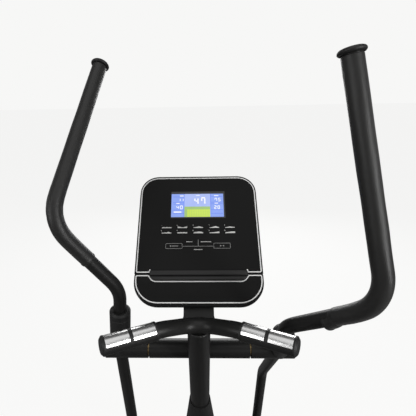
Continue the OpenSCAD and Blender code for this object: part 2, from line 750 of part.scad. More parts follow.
grip_len = norm(grip_out - grip_in);
grip_dir = unit(grip_out - grip_in);
grip_yaw = atan2(grip_dir[1], grip_dir[0]);
collar_len = 5;
end_cap_len = 7.5;
plate_band = 8;
pulse_plate_t = 0.8;
pulse_plate_len = (grip_len - collar_len - plate_band) / 2;
pulse_plate_arc = 150;
plate_turn = 4;
module on_grip(side) mirror([side > 0 ? 0 : 1, 0, 0])
    translate(grip_in) rotate([0, acos(grip_dir[2]), grip_yaw]) children();
module plate_ring(from, r_in, r_out, arc) translate([0, 0, from])
    rotate([0, 0, 180 - arc / 2 - plate_turn]) rotate_extrude(angle = arc)
    translate([r_in, 0]) square([r_out - r_in, pulse_plate_len]);

module pulse_grips() color(black_plastic) for (side = [-1, 1]) on_grip(side) difference() {
    grip_r = pulse_grip_d / 2;
    union() {
        cylinder(h = grip_len, r = grip_r);
        cylinder(h = collar_len, r = grip_r + 1);
        translate([0, 0, grip_len]) cylinder(h = end_cap_len - 4, r = grip_r + 1);
        translate([0, 0, grip_len + end_cap_len - 4]) cylinder(h = 4, r1 = grip_r + 1, r2 = grip_r - 4);
    }
    translate([0, 0, -1]) cylinder(h = grip_len + 1 + snug_gap, r = bar_tube_d / 2 + snug_gap);
    for (from = [collar_len, collar_len + pulse_plate_len + plate_band])
        plate_ring(from, grip_r - pulse_plate_t, grip_r + 2, pulse_plate_arc);
}

module pulse_plates() color(bright_steel) for (side = [-1, 1]) on_grip(side)
    for (from = [collar_len, collar_len + pulse_plate_len + plate_band])
        plate_ring(from, pulse_grip_d / 2 - pulse_plate_t + weld_gap, pulse_grip_d / 2 + 0.4,
            pulse_plate_arc - 0.4);

// ---- Console ----

module console_frame() translate([0, axle_y - console_y, axle_h + console_z])
    rotate([90 - console_tilt, 0, 0]) children();
module face_outline(inset = 0) {
    half = console_w / 2 - inset;
    top = console_h - console_below - inset;
    low = -console_below + inset;
    upper_r = console_corner - inset;
    lower_r = console_low_corner - inset;
    translate([-half, low + lower_r]) square([2 * half, top - low - upper_r - lower_r]);
    translate([-half + upper_r, top - 2 * upper_r]) square([2 * (half - upper_r), 2 * upper_r]);
    translate([-half + lower_r, low]) square([2 * (half - lower_r), 2 * lower_r]);
    for (side = [-1, 1]) {
        translate([side * (half - upper_r), top - upper_r]) circle(r = upper_r);
        translate([side * (half - lower_r), low + lower_r]) circle(r = lower_r);
    }
}
module ledge_outline(grow = 0) {
    half = [[ledge_low_half - ledge_corner, ledge_low - grow],
            [ledge_low_half + grow, ledge_low + ledge_corner], [ledge_half + 3 * grow, ledge_top + grow]];
    polygon(concat([for (i = [2 : -1 : 0]) [-half[i][0], half[i][1]]], half));
    for (side = [-1, 1]) translate([side * (ledge_low_half - ledge_corner), ledge_low + ledge_corner])
        circle(r = ledge_corner + grow);
}
key_places = [["start", [-62.5, 87.3], outlined_key], ["enter", [60.8, 87.6], outlined_key],
    ["mode", [-22.8, 98.5], small_key], ["recovery", [20.2, 98.5], wide_key],
    ["reset", [0, 77.5], small_key]];
module key_outline(i, grow = 0) translate(key_places[i][1])
    rounded_outline(key_places[i][2][0] + 2 * grow, key_places[i][2][1] + 2 * grow, 3 + grow);

face_bevel = 1.5;
module console_face() color(black_plastic) console_frame() translate([0, 0, -face_t]) difference() {
    linear_extrude(height = face_t) difference() {
        face_outline();
        translate([-console_w, -console_h])
            square([2 * console_w, console_h + panel_split + split_gap / 2]);
        ledge_outline(face_gap);
        translate([0, display_y]) square([display_w + 0.4, display_h + 0.4], center = true);
        for (i = [0 : len(key_places) - 1]) key_outline(i, key_gap);
    }
    // A step round the rim stands for its rounded edge.
    translate([0, 0, face_t - face_bevel]) linear_extrude(height = 2) difference() {
        face_outline(-5);
        face_outline(face_bevel);
    }
}

module console_lower_panel() color(black_plastic) console_frame() translate([0, 0, -face_t])
    linear_extrude(height = face_t) difference() {
        face_outline();
        translate([-console_w, panel_split - split_gap / 2]) square([2 * console_w, console_h]);
        ledge_outline(face_gap);
    }

// The ledge holds a tablet in a groove along its length.
module tablet_ledge() color(black_plastic) console_frame() difference() {
    translate([0, 0, -face_t]) linear_extrude(height = face_t + ledge_out) ledge_outline();
    translate([-console_w, slot_low, slot_floor]) cube([2 * console_w, slot_h, 20]);
    translate([-console_w, slot_low + slot_h - 0.1, ridge_out]) cube([2 * console_w, 30, 20]);
}

module display_module() color([0.25, 0.4, 0.85]) console_frame()
    translate([-display_w / 2, display_y - display_h / 2, -display_t])
    cube([display_w, display_h, display_t - 0.2]);

// Rear casing: a rim the size of the face, and a deeper back box.
back_inset = 26;
board_screw_inset = 10;
module board_screw_places() for (x = [-1, 1], y = [-1, 1])
    translate([x * (board[0] / 2 - board_screw_inset), board_y + y * (board[1] / 2 - board_screw_inset), 0])
    children();
module rear_solid(inset) {
    translate([0, 0, -rim_depth + inset]) linear_extrude(height = rim_depth - face_t - inset)
        face_outline(inset);
    translate([0, 0, -console_depth + inset]) linear_extrude(height = console_depth - rim_depth)
        face_outline(back_inset + inset);
}
module console_rear_shell() color(black_plastic) console_frame() difference() {
    union() {
        difference() {
            rear_solid(0);
            translate([0, 0, shell_wall + 0.01]) rear_solid(shell_wall);
            translate([0, 0, -face_t - 4]) linear_extrude(height = 10) face_outline(shell_wall);
        }
        board_screw_places() translate([0, 0, -console_depth + shell_wall])
            cylinder(h = console_depth - shell_wall + board_z, r = board_boss_r);
    }
    translate([0, -console_below - 1, -neck_depth - neck_t / 2])
        cube([neck_w + 1, 4 * shell_wall + 2 * back_inset, neck_t + 1], center = true);
    board_screw_places() translate([0, 0, -console_depth - 1])
        cylinder(h = console_depth + 5, r = console_screw_r);
}

module circuit_board() color([0.05, 0.3, 0.12]) console_frame()
    difference() {
        union() {
            translate([-board[0] / 2, board_y - board[1] / 2, board_z]) cube(board);
            translate([-chip[0] / 2, display_y - 20, board_z + board[2]]) cube(chip);
            translate([-connector[0] / 2, board_y - 85, board_z + board[2]]) cube(connector);
        }
        board_screw_places() translate([0, 0, board_z - 1]) cylinder(h = 4, r = console_screw_r + 0.2);
    }

module key(i) color(black_plastic) console_frame()
    translate([0, 0, -key_t]) linear_extrude(height = key_t + key_proud) key_outline(i);
module key_start() key(0);
module key_enter() key(1);
module key_mode() key(2);
module key_recovery() key(3);
module key_reset() key(4);

// A flat plate that is welded to the post's top and runs up inside the console.
module neck_bracket() color(black_steel) difference() {
    console_frame() translate([0, 0, -neck_depth - neck_t]) linear_extrude(height = neck_t) {
        translate([-neck_w / 2, neck_low]) square([neck_w, neck_top - neck_low]);
        translate([-neck_flare / 2, neck_low]) square([neck_flare, neck_flare_h]);
        for (side = [-1, 1]) translate([side * neck_w / 2, neck_low + neck_flare_h]) difference() {
            translate([side * neck_fillet / 2, neck_fillet / 2 - 0.1])
                square([neck_fillet + 0.2, neck_fillet], center = true);
            translate([side * neck_fillet, neck_fillet]) circle(r = neck_fillet);
        }
    }
    on_post(axle_h) cylinder(h = 300, r = post_d / 2 + weld_gap);
    bent_rod(bar_corners, bar_bends, bar_tube_d / 2 + weld_gap, bend_swell);
}

// ---- Drive ----

crank_centre = [crank_y, crank_h];
flywheel_centre = [flywheel_y, flywheel_h];
magnet_r = flywheel_r + magnet_gap;
magnet_pin = flywheel_centre + (magnet_r + magnet_t / 2) * [cos(magnet_from), sin(magnet_from)];
magnet_pin_r = 5;
magnet_ear_r = 11;
crank_ear_r = 45;
flywheel_ear_r = 30;

module drive_bracket() color(black_steel) for (side = [-1, 1]) difference() {
    side_plate(side > 0 ? bracket_x : -bracket_x - bracket_t, bracket_t) difference() {
        union() {
            loop_outline(crank_centre, crank_ear_r, flywheel_centre, flywheel_ear_r);
            loop_outline(flywheel_centre, flywheel_ear_r, magnet_pin, magnet_ear_r);
            translate([flywheel_y - 20, spine_top - 30])
                square([flywheel_back + 50, crank_h - spine_top + 20]);
        }
        translate([flywheel_y + 45, spine_top + 30]) square([flywheel_back - 75, 60]);
        translate(crank_centre) circle(r = bearing_r + weld_gap);
        translate(flywheel_centre) circle(r = flywheel_axle_r + weld_gap);
        translate(magnet_pin) circle(r = magnet_pin_r + run_gap);
        translate([flywheel_y - 21, spine_top - 31]) square([0.5, 31]);
    }
}

module crank_bearings() color(zinc) for (side = [-1, 1])
    translate([side > 0 ? bracket_x - 4 : -bracket_x - bearing_w + 4, crank_y, crank_h]) rotate([0, 90, 0])
        difference() {
            cylinder(h = bearing_w, r = bearing_r);
            translate([0, 0, -1]) cylinder(h = bearing_w + 2, r = crank_axle_r + run_gap);
        }

module crank_axle() color(bright_steel)
    x_rod(-crank_in_x - crank_t - 3, crank_y, crank_h, 2 * (crank_in_x + crank_t + 3), crank_axle_r);

pulley_flange = 2;
module crank_pulley() color(black_plastic) translate([drive_plane_x, crank_y, crank_h]) rotate([0, 90, 0])
    difference() {
        union() {
            cylinder(h = pulley_flange, r = pulley_r + pulley_flange);
            translate([0, 0, pulley_w - pulley_flange])
                cylinder(h = pulley_flange, r = pulley_r + pulley_flange);
            cylinder(h = pulley_w, r = pulley_r);
        }
        translate([0, 0, -1]) cylinder(h = pulley_w + 2, r = crank_axle_r + snug_gap);
        for (i = [0 : 4]) rotate([0, 0, i * 72]) translate([pulley_r * 0.56, 0, -1])
            cylinder(h = pulley_w + 2, r = pulley_r * 0.22);
    }

pin_head_t = 5;
// A crank arm with its pin, which carries the pedal bar's rear bush.
module crank(side) color(black_steel) {
    pin = pin_place(side);
    crank_out_x = crank_in_x + crank_t;
    pin_end = bar_x + bar_boss_half + 2;
    difference() {
        side_plate(side > 0 ? crank_in_x : -crank_out_x, crank_t)
            loop_outline(crank_centre, crank_w / 2 + 4, pin, crank_w / 2);
        x_span(side * (crank_in_x - 1), side * (crank_out_x + 1),
            crank_y, crank_h, crank_axle_r + snug_gap);
    }
    x_span(side * crank_in_x, side * pin_end, pin[0], pin[1], pin_r);
    x_span(side * crank_out_x, side * (bar_x - bar_boss_half - face_gap), pin[0], pin[1], pin_r + 4);
    x_span(side * pin_end, side * (pin_end + pin_head_t), pin[0], pin[1], pin_r + 5);
}
module crank_left() crank(-1);
module crank_right() crank(1);

module drive_belt() color(foam_black)
    side_plate(drive_plane_x + (pulley_w - drive_belt_w) / 2, drive_belt_w) difference() {
        polygon(loop_points(crank_centre, pulley_r + belt_gap + belt_t,
            flywheel_centre, small_pulley_r + belt_gap + belt_t));
        polygon(loop_points(crank_centre, pulley_r + belt_gap, flywheel_centre, small_pulley_r + belt_gap));
    }

flywheel_x = -flywheel_w - 4;
flywheel_hub_r = 12;
flywheel_boss_r = 30;
flywheel_rim = 28;
flywheel_dish = 7;
module flywheel() color(zinc) difference() {
    union() {
        x_rod(flywheel_x, flywheel_y, flywheel_h, flywheel_w, flywheel_r);
        x_span(flywheel_x - 6, drive_plane_x + pulley_w, flywheel_y, flywheel_h, flywheel_hub_r);
        x_rod(drive_plane_x, flywheel_y, flywheel_h, pulley_w, small_pulley_r);
    }
    for (face = [flywheel_x - 0.1, flywheel_x + flywheel_w - flywheel_dish]) difference() {
        x_rod(face, flywheel_y, flywheel_h, flywheel_dish + 0.1, flywheel_r - flywheel_rim);
        x_rod(face - 1, flywheel_y, flywheel_h, flywheel_dish + 3, flywheel_boss_r);
    }
    x_rod(-60, flywheel_y, flywheel_h, 120, flywheel_axle_r + run_gap);
}

module flywheel_axle() color(bright_steel) {
    half = bracket_x + bracket_t + 8;
    x_span(-half, half, flywheel_y, flywheel_h, flywheel_axle_r);
    for (side = [-1, 1]) translate([side * (bracket_x + bracket_t + 0.1), flywheel_y, flywheel_h])
        rotate([0, side * 90, 0]) cylinder(h = 6, r = 9, $fn = 6);
}

// A curved bracket that carries magnets round the flywheel's rim and swings on a pin.
module magnet_bracket() color(zinc) {
    translate([flywheel_x, flywheel_y, flywheel_h]) rotate([90, 0, 90])
        rotate([0, 0, magnet_from]) rotate_extrude(angle = magnet_to - magnet_from)
        translate([magnet_r, 0]) square([magnet_t, flywheel_w]);
    x_span(-bracket_x - bracket_t, bracket_x + bracket_t, magnet_pin[0], magnet_pin[1], magnet_pin_r);
}

// Housing halves, split on the machine's middle plane. A shallow dish stands proud of each side.
dish_t = 6;
dish_inset = 8;
module housing_outline(inset = 0) {
    loop_outline(crank_centre, housing_front_r - inset, flywheel_centre, housing_rear_r - inset);
    translate([flywheel_y - 60 + inset, spine_top + snug_gap + inset])
        square([flywheel_back + 120 - 2 * inset, crank_h - spine_top]);
}
module housing(side) color(black_plastic) mirror([side > 0 ? 0 : 1, 0, 0]) difference() {
    union() {
        side_plate(snug_gap, housing_w / 2 - dish_t - snug_gap) housing_outline();
        side_plate(housing_w / 2 - dish_t - 1, dish_t + 1) housing_outline(dish_inset);
    }
    side_plate(-1, housing_w / 2 - dish_t - shell_wall + 1) housing_outline(shell_wall);
    side_plate(housing_w / 2 - dish_t - 2 * shell_wall, dish_t + shell_wall)
        housing_outline(dish_inset + shell_wall);
    x_rod(0, crank_y, crank_h, housing_w, crank_axle_r + 8);
    translate([-1, flywheel_y - 25, spine_top - 1]) cube([spine_w / 2 + 14, flywheel_back + 60, 5]);
    if (side < 0) x_rod(0, inlet_place[0], inlet_place[1], housing_w, inlet_r + 0.2);
}
module housing_left() housing(-1);
module housing_right() housing(1);

// Low-voltage power inlet in the left half of the housing.
inlet_r = 8;
inlet_place = [crank_y + 40, spine_top + 40];
module power_inlet() color(foam_black) mirror([1, 0, 0]) difference() {
    union() {
        x_rod(housing_w / 2 - 18, inlet_place[0], inlet_place[1], 18.1, inlet_r);
        x_rod(housing_w / 2 + 0.1, inlet_place[0], inlet_place[1], 2, inlet_r + 3);
    }
    x_rod(housing_w / 2 - 12, inlet_place[0], inlet_place[1], 20, 4);
}

// ---- Pedal bars and foot plates ----

module bar_frame(side) {
    pin = pin_place(side);
    translate([0, pin[0], pin[1]]) rotate([bar_slope(side), 0, 0]) children();
}
module pedal_bar(side) color(black_steel) bar_frame(side) mirror([side > 0 ? 0 : 1, 0, 0]) difference() {
    union() {
        difference() {
            translate([bar_x - bar_w / 2, 0, -bar_h / 2]) cube([bar_w, bar_len, bar_h]);
            translate([bar_x - bar_w / 2 + tube_wall, 30, -bar_h / 2 + tube_wall])
                cube([bar_w - 2 * tube_wall, bar_len - 60, bar_h - 2 * tube_wall]);
        }
        x_rod(bar_x - bar_boss_half, 0, 0, 2 * bar_boss_half, bar_boss_r + 3);
        x_rod(bar_x - bar_boss_half, bar_len, 0, bar_front_x - bar_x + bar_boss_half, bar_boss_r + 3);
    }
    x_rod(bar_x - bar_boss_half - 1, 0, 0, 2 * bar_boss_half + 2, pin_r + run_gap);
    x_rod(bar_front_x - 24, bar_len, 0, 30, pin_r);
}
module pedal_bar_left() pedal_bar(-1);
module pedal_bar_right() pedal_bar(1);

module plate_outline(inset) translate([plate_x, plate_from_pin + plate_len / 2])
    rounded_outline(plate_w - 2 * inset, plate_len - 2 * inset, plate_corner - inset);
module foot_plate(side) color(black_plastic) bar_frame(side) mirror([side > 0 ? 0 : 1, 0, 0])
    translate([0, 0, bar_h / 2 + snug_gap]) difference() {
        linear_extrude(height = plate_t + plate_rim_front_h) plate_outline(0);
        translate([0, 0, plate_t]) linear_extrude(height = plate_rim_front_h + 1)
            plate_outline(plate_rim_t);
        translate([0, plate_from_pin - 1, plate_t + plate_rim_h])
            cube([400, plate_len - 60, 100]);
        translate([0, plate_from_pin - 1, plate_t + 8]) cube([400, 40, 100]);
    }
module foot_plate_left() foot_plate(-1);
module foot_plate_right() foot_plate(1);

spine_beam();
stabilizer_tubes();
front_end_caps();
rear_end_caps();
transport_wheel_left();
transport_wheel_right();
levelling_foot_left();
levelling_foot_right();
frame_bolts();
mast();
post();
post_cover_left();
post_cover_right();
cross_axle();
arm_shaft();
arm_bushes_left();
arm_bushes_right();
hub_caps();
handlebar();
pulse_grips();
pulse_plates();
neck_bracket();
console_rear_shell();
console_face();
console_lower_panel();
tablet_ledge();
display_module();
circuit_board();
key_start();
key_enter();
key_mode();
key_recovery();
key_reset();
lower_arm_left();
lower_arm_right();
arm_sleeve_left();
arm_sleeve_right();
upper_arm_left();
upper_arm_right();
foam_grip_left();
foam_grip_right();
grip_cap_left();
grip_cap_right();
drive_bracket();
crank_bearings();
crank_axle();
crank_pulley();
crank_left();
crank_right();
drive_belt();
flywheel();
flywheel_axle();
magnet_bracket();
housing_left();
housing_right();
power_inlet();
pedal_bar_left();
pedal_bar_right();
foot_plate_left();
foot_plate_right();
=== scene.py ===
"""Looks for a rear-drive elliptical trainer, built round its fixed CAD frame.

All sizes are in metres, in the frame's own axes.
+X is the user's right, +Y is the way the user faces, and +Z is up.
Each operator makes one piece or one group of like pieces, and the stage has an operator of its own.
"""

import json
import math

import bmesh
import bpy
import numpy as np
from bpy.props import FloatProperty, FloatVectorProperty, PointerProperty
from bpy.types import Operator, Panel, PropertyGroup
from mathutils import Matrix, Vector, noise


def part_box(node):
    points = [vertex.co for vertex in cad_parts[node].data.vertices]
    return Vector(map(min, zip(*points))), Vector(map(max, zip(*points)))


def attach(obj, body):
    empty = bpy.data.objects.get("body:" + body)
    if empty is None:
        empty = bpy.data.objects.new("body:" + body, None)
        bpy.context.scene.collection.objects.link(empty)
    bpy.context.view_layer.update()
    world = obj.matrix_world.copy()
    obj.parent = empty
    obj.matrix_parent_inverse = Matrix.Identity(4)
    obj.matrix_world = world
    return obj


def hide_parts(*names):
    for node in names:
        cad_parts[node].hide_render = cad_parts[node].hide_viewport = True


bl_info = {
    "name": "Elliptical trainer looks",
    "version": (1, 0, 0),
    "blender": (4, 5, 0),
    "location": "3D View > Sidebar > Trainer",
    "description": "Builds the looks of an elliptical trainer round its CAD frame",
    "category": "Object",
}

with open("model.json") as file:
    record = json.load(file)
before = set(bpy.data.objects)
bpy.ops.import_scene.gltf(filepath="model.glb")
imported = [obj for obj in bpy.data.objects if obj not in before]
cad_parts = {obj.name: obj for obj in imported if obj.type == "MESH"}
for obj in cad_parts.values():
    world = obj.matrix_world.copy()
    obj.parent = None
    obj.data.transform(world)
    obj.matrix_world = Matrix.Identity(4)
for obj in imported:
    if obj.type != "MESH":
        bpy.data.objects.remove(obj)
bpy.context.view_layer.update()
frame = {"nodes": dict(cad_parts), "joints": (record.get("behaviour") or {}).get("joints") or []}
NODES = frame["nodes"]
JOINTS = {joint["name"]: joint for joint in frame["joints"]}
AXLE = Vector(JOINTS["left_arm_swing"]["pos_m"])
CRANK = Vector(JOINTS["crank_spin"]["pos_m"])
SIDES = {"left": -1, "right": 1}
UP = Vector((0.0, 0.0, 1.0))

# The frame's layout, as the CAD model has it
POST_LEAN = math.radians(17.4)
POST_BEHIND_AXLE = 0.050
POST_TOP_ABOVE_AXLE = 0.137
ARM_OUT = 0.213
PEDAL_OUT = 0.183
ARM_FOOT_RADIUS = 0.022
PEDAL_BOSS_RADIUS = 0.025
PEDAL_TREAD_UP = 0.0331


# ---- Settings that a user would change ----


def length(name, description, default):
    return FloatProperty(
        name=name, description=description, default=default, unit="LENGTH", precision=4
    )


def angle(name, description, degrees):
    return FloatProperty(
        name=name, description=description, default=math.radians(degrees), subtype="ANGLE"
    )


def colour(name, description, default):
    return FloatVectorProperty(
        name=name, description=description, default=default, size=3, subtype="COLOR", min=0.0, max=1.0
    )


class TrainerConsole(PropertyGroup):
    """Sizes of the console, in the plane of its face"""

    tilt: angle("Tilt", "Tilt of the face from vertical", 44.3)
    ledge_back: length("Ledge back", "Distance of the ledge line from the axle towards the user", 0.021)
    ledge_up: length("Ledge up", "Height of the ledge line above the axle", 0.219)
    width: length("Width", "Width of the face", 0.318)
    top: length("Top", "Distance from the ledge line to the top of the face", 0.2945)
    below: length("Below", "Length of the face below the ledge line", 0.064)
    corner: length("Upper corner", "Radius of the face's upper corners", 0.050)
    low_corner: length("Lower corner", "Radius of the face's lower corners", 0.060)
    face_depth: length("Face depth", "Thickness of the face", 0.005)
    edge_round: length("Edge", "Rounding of the face's rim", 0.0016)
    split: length("Split", "Height of the gap between the face and the lower panel", 0.014)
    split_gap: length("Split gap", "Width of that gap", 0.002)
    trim_inset: length("Trim inset", "Distance of the silver line from the rim", 0.0045)
    trim_top: length("Trim top inset", "Distance of the silver line from the top of the face", 0.0060)
    trim_width: length("Trim width", "Width of the silver line", 0.0026)
    ink: length("Ink", "Height of printed marks above the face", 0.00012)


class TrainerGrips(PropertyGroup):
    """Sizes of the foam grips and their caps"""

    foam_radius: length("Foam radius", "Outer radius of the foam", 0.0175)
    foam_hole: length("Foam hole", "Radius of the hole through the foam", 0.01625)
    foam_unevenness: length("Unevenness", "How far the foam's surface wanders", 0.00028)
    cuff: length("Cuff", "Height of the ridge where the foam starts", 0.0009)
    wrinkle: length("Wrinkle", "Depth of the creases inside the bend", 0.00035)
    cap_radius: length("Cap radius", "Radius of the flange on the end cap", 0.02225)
    cap_height: length("Cap height", "Height of the flange on the end cap", 0.009)


class TrainerColours(PropertyGroup):
    """Colours of the finishes"""

    powder_coat: colour("Powder coat", "Colour of the coated steel", (0.0125, 0.0123, 0.0118))
    plastic: colour("Moulded plastic", "Colour of the moulded covers", (0.0115, 0.0115, 0.0113))
    overlay: colour("Console overlay", "Colour of the console's face", (0.0090, 0.0090, 0.0089))
    foam: colour("Foam", "Colour of the foam grips", (0.0130, 0.0127, 0.0120))
    pedal: colour("Foot plates", "Colour of the foot plates", (0.022, 0.022, 0.023))
    silver: colour("Silver line", "Colour of the console's trim line", (0.92, 0.92, 0.91))
    print_white: colour("White print", "Colour of the white marks", (0.72, 0.72, 0.70))
    print_grey: colour("Grey print", "Colour of the grey marks", (0.36, 0.36, 0.35))
    screen: colour("Screen", "Colour of the screen's middle", (0.434, 0.539, 0.982))
    screen_side: colour("Screen sides", "Colour of the screen's columns", (0.278, 0.408, 0.955))
    screen_line: colour("Screen lines", "Colour of the lines between cells", (0.105, 0.195, 0.90))
    bars: colour("Bars", "Colour of the lit bars", (0.617, 0.815, 0.098))
    bars_idle: colour("Idle bars", "Colour of the unlit bars", (0.380, 0.590, 0.190))


class TrainerView(PropertyGroup):
    """The camera, measured from the arms' axle"""

    right: length("Right", "Distance of the camera to the user's right", 0.0056)
    behind: length("Behind", "Distance of the camera behind the axle", 0.7864)
    above: length("Above", "Height of the camera above the axle", 0.6582)
    pitch: angle("Pitch", "How far the camera looks down", 17.3)
    yaw: angle("Yaw", "How far the camera turns right", -1.9)
    roll: angle("Roll", "How far the camera leans", 1.1)
    lens: FloatProperty(name="Lens", description="Focal length on a 36 mm sensor", default=30.44)
    shift_right: FloatProperty(
        name="Shift right", description="Sideways shift of the frame", default=0.0459
    )
    shift_up: FloatProperty(
        name="Shift up", description="Upward shift of the frame", default=-0.0154
    )


# ---- Materials ----


def connect(tree, target, value):
    """Gives an input a value, or links another node's output to it."""
    if isinstance(value, bpy.types.NodeSocket):
        tree.links.new(value, target)
    else:
        target.default_value = value


def add(tree, kind, inputs=None, **settings):
    """Adds one node. Each input takes a value or another node's output."""
    made = tree.nodes.new(kind)
    for key, value in settings.items():
        setattr(made, key, value)
    for key, value in (inputs or {}).items():
        connect(tree, made.inputs[key], value)
    return made


def math_of(tree, operation, *values):
    """The output of a math node."""
    return add(tree, "ShaderNodeMath", dict(enumerate(values)), operation=operation).outputs[0]


def noise_of(tree, given, detail, **more):
    """A noise texture inside a group, with the group's vector and scale."""
    inputs = {"Vector": given["Vector"], "Scale": given["Scale"], "Detail": detail}
    return add(tree, "ShaderNodeTexNoise", {**inputs, **more}).outputs["Fac"]


def ramp_of(tree, value, low, high):
    """The output of a map range node that takes low to 0 and high to 1."""
    inputs = {"Value": value, "From Min": low, "From Max": high}
    return add(tree, "ShaderNodeMapRange", inputs).outputs["Result"]


def blend_colours(tree, factor, first, second):
    """A mix of two colours. The mix node takes them at sockets 6 and 7, and gives one at 2."""
    mix = add(tree, "ShaderNodeMix", data_type="RGBA")
    for place, value in ((0, factor), (6, first), (7, second)):
        connect(tree, mix.inputs[place], value)
    return mix.outputs[2]


def new_group(name, inputs, outputs):
    """A shader node group with named sockets, and its input and output nodes."""
    tree = bpy.data.node_groups.new(name, "ShaderNodeTree")
    for socket, kind, value in inputs:
        made = tree.interface.new_socket(name=socket, in_out="INPUT", socket_type=kind)
        if value is not None:
            made.default_value = value
    for socket, kind in outputs:
        tree.interface.new_socket(name=socket, in_out="OUTPUT", socket_type=kind)
    return tree, tree.nodes.new("NodeGroupInput").outputs, tree.nodes.new("NodeGroupOutput").inputs


def mottled_tone():
    """Slow drift of colour and roughness over a surface, as handling and uneven coating leave it."""
    tree, given, out = new_group(
        "Mottled tone",
        [
            ("Vector", "NodeSocketVector", None),
            ("Scale", "NodeSocketFloat", 6.0),
            ("Colour", "NodeSocketColor", (0.02, 0.02, 0.02, 1)),
            ("Drift", "NodeSocketFloat", 0.15),
            ("Roughness", "NodeSocketFloat", 0.5),
            ("Roughness drift", "NodeSocketFloat", 0.06),
        ],
        [("Colour", "NodeSocketColor"), ("Roughness", "NodeSocketFloat")],
    )
    signed = math_of(tree, "SUBTRACT", noise_of(tree, given, 5.0), 0.5)
    lift = math_of(tree, "MULTIPLY_ADD", signed, given["Drift"], 1.0)
    scaled = {0: given["Colour"], "Scale": lift}
    toned = add(tree, "ShaderNodeVectorMath", scaled, operation="SCALE")
    rough = math_of(tree, "MULTIPLY_ADD", signed, given["Roughness drift"], given["Roughness"])
    tree.links.new(toned.outputs[0], out["Colour"])
    tree.links.new(rough, out["Roughness"])
    return tree


def moulded_grain():
    """The fine pebbled grain of a mould, as a height."""
    tree, given, out = new_group(
        "Moulded grain",
        [("Vector", "NodeSocketVector", None), ("Scale", "NodeSocketFloat", 900.0)],
        [("Height", "NodeSocketFloat")],
    )
    pebbles = add(
        tree,
        "ShaderNodeTexVoronoi",
        {"Vector": given["Vector"], "Scale": given["Scale"], "Smoothness": 0.6},
        feature="SMOOTH_F1",
    )
    height = math_of(tree, "ADD", pebbles.outputs["Distance"], noise_of(tree, given, 3.0))
    tree.links.new(height, out["Height"])
    return tree


def orange_peel():
    """The soft ripple of a sprayed or baked coat, as a height."""
    tree, given, out = new_group(
        "Orange peel",
        [("Vector", "NodeSocketVector", None), ("Scale", "NodeSocketFloat", 420.0)],
        [("Height", "NodeSocketFloat")],
    )
    tree.links.new(noise_of(tree, given, 1.5), out["Height"])
    return tree


def foam_cells():
    """Closed foam cells with open pores between them: a height, and a mask of the pores, where shade is
    painted.
    """
    tree, given, out = new_group(
        "Foam cells",
        [("Vector", "NodeSocketVector", None), ("Scale", "NodeSocketFloat", 1100.0)],
        [("Height", "NodeSocketFloat"), ("Pores", "NodeSocketFloat")],
    )
    cells = add(tree, "ShaderNodeTexVoronoi", {"Vector": given["Vector"], "Scale": given["Scale"]})
    coarse = noise_of(tree, given, 4.0, Scale=160.0)
    height = math_of(tree, "ADD", cells.outputs["Distance"], coarse)
    tree.links.new(height, out["Height"])
    tree.links.new(ramp_of(tree, cells.outputs["Distance"], 0.0, 0.35), out["Pores"])
    return tree


def brushed_lines():
    """Fine lines left by brushing or turning. The vector is stretched along the lines."""
    tree, given, out = new_group(
        "Brushed lines",
        [("Vector", "NodeSocketVector", None), ("Scale", "NodeSocketFloat", 60.0)],
        [("Height", "NodeSocketFloat"), ("Lines", "NodeSocketFloat")],
    )
    lines = noise_of(tree, given, 6.0, Roughness=0.7)
    tree.links.new(lines, out["Height"])
    tree.links.new(ramp_of(tree, lines, 0.3, 0.7), out["Lines"])
    return tree


def group_node(tree, group, inputs):
    """The outputs of one of the groups, set up in a material."""
    return add(tree, "ShaderNodeGroup", inputs, node_tree=bpy.data.node_groups[group]).outputs


def tone_of(tree, where, scale, base, drift, roughness, rough_drift=0.06):
    """The mottled tone of a material, as a colour and a roughness."""
    inputs = {"Vector": where, "Scale": scale, "Colour": (*base, 1.0), "Drift": drift}
    inputs.update({"Roughness": roughness, "Roughness drift": rough_drift})
    return group_node(tree, "Mottled tone", inputs)


def surface(tree, shader, colour_of, roughness_of, height, bump, depth):
    """Links a material's colour and roughness, and its height as a bump."""
    relief = add(tree, "ShaderNodeBump", {"Height": height, "Strength": bump, "Distance": depth})
    tree.links.new(colour_of, shader.inputs["Base Color"])
    tree.links.new(roughness_of, shader.inputs["Roughness"])
    tree.links.new(relief.outputs["Normal"], shader.inputs["Normal"])


def start_material(name):
    """A material with a shader, and the piece's own coordinates."""
    material = bpy.data.materials.new(name)
    material.use_nodes = True
    tree = material.node_tree
    shader = next(n for n in tree.nodes if n.type == "BSDF_PRINCIPLED")
    where = add(tree, "ShaderNodeTexCoord").outputs["Object"]
    return material, tree, shader, where


def toned_material(name, base, roughness, texture, scale, bump, drift=0.22, **sockets):
    """A solid finish: a mottled tone over a fine texture from a group that gives a height."""
    material, tree, shader, where = start_material(name)
    tone = tone_of(tree, where, 9.0, base, drift, roughness, 0.10)
    grain = group_node(tree, texture, {"Vector": where, "Scale": scale})
    surface(tree, shader, tone["Colour"], tone["Roughness"], grain["Height"], bump, 0.0004)
    for key, value in sockets.items():
        shader.inputs[key.replace("_", " ")].default_value = value
    material.diffuse_color = (*base, 1.0)
    return material


def foam_material(base):
    """Soft foam with painted shade in its pores, and a faint sheen."""
    material, tree, shader, where = start_material("closed_cell_foam")
    cells = group_node(tree, "Foam cells", {"Vector": where, "Scale": 1150.0})
    tone = tone_of(tree, where, 26.0, base, 0.35, 0.43, 0.12)
    # The pores' colour is the foam's own colour darkened: painted shade inside the pores.
    pore_shade = tuple(value * 0.55 for value in base)
    mixed = blend_colours(tree, cells["Pores"], (*pore_shade, 1.0), tone["Colour"])
    surface(tree, shader, mixed, tone["Roughness"], cells["Height"], 0.28, 0.0005)
    shader.inputs["Sheen Weight"].default_value = 0.10
    shader.inputs["Sheen Roughness"].default_value = 0.5
    material.diffuse_color = (*base, 1.0)
    return material


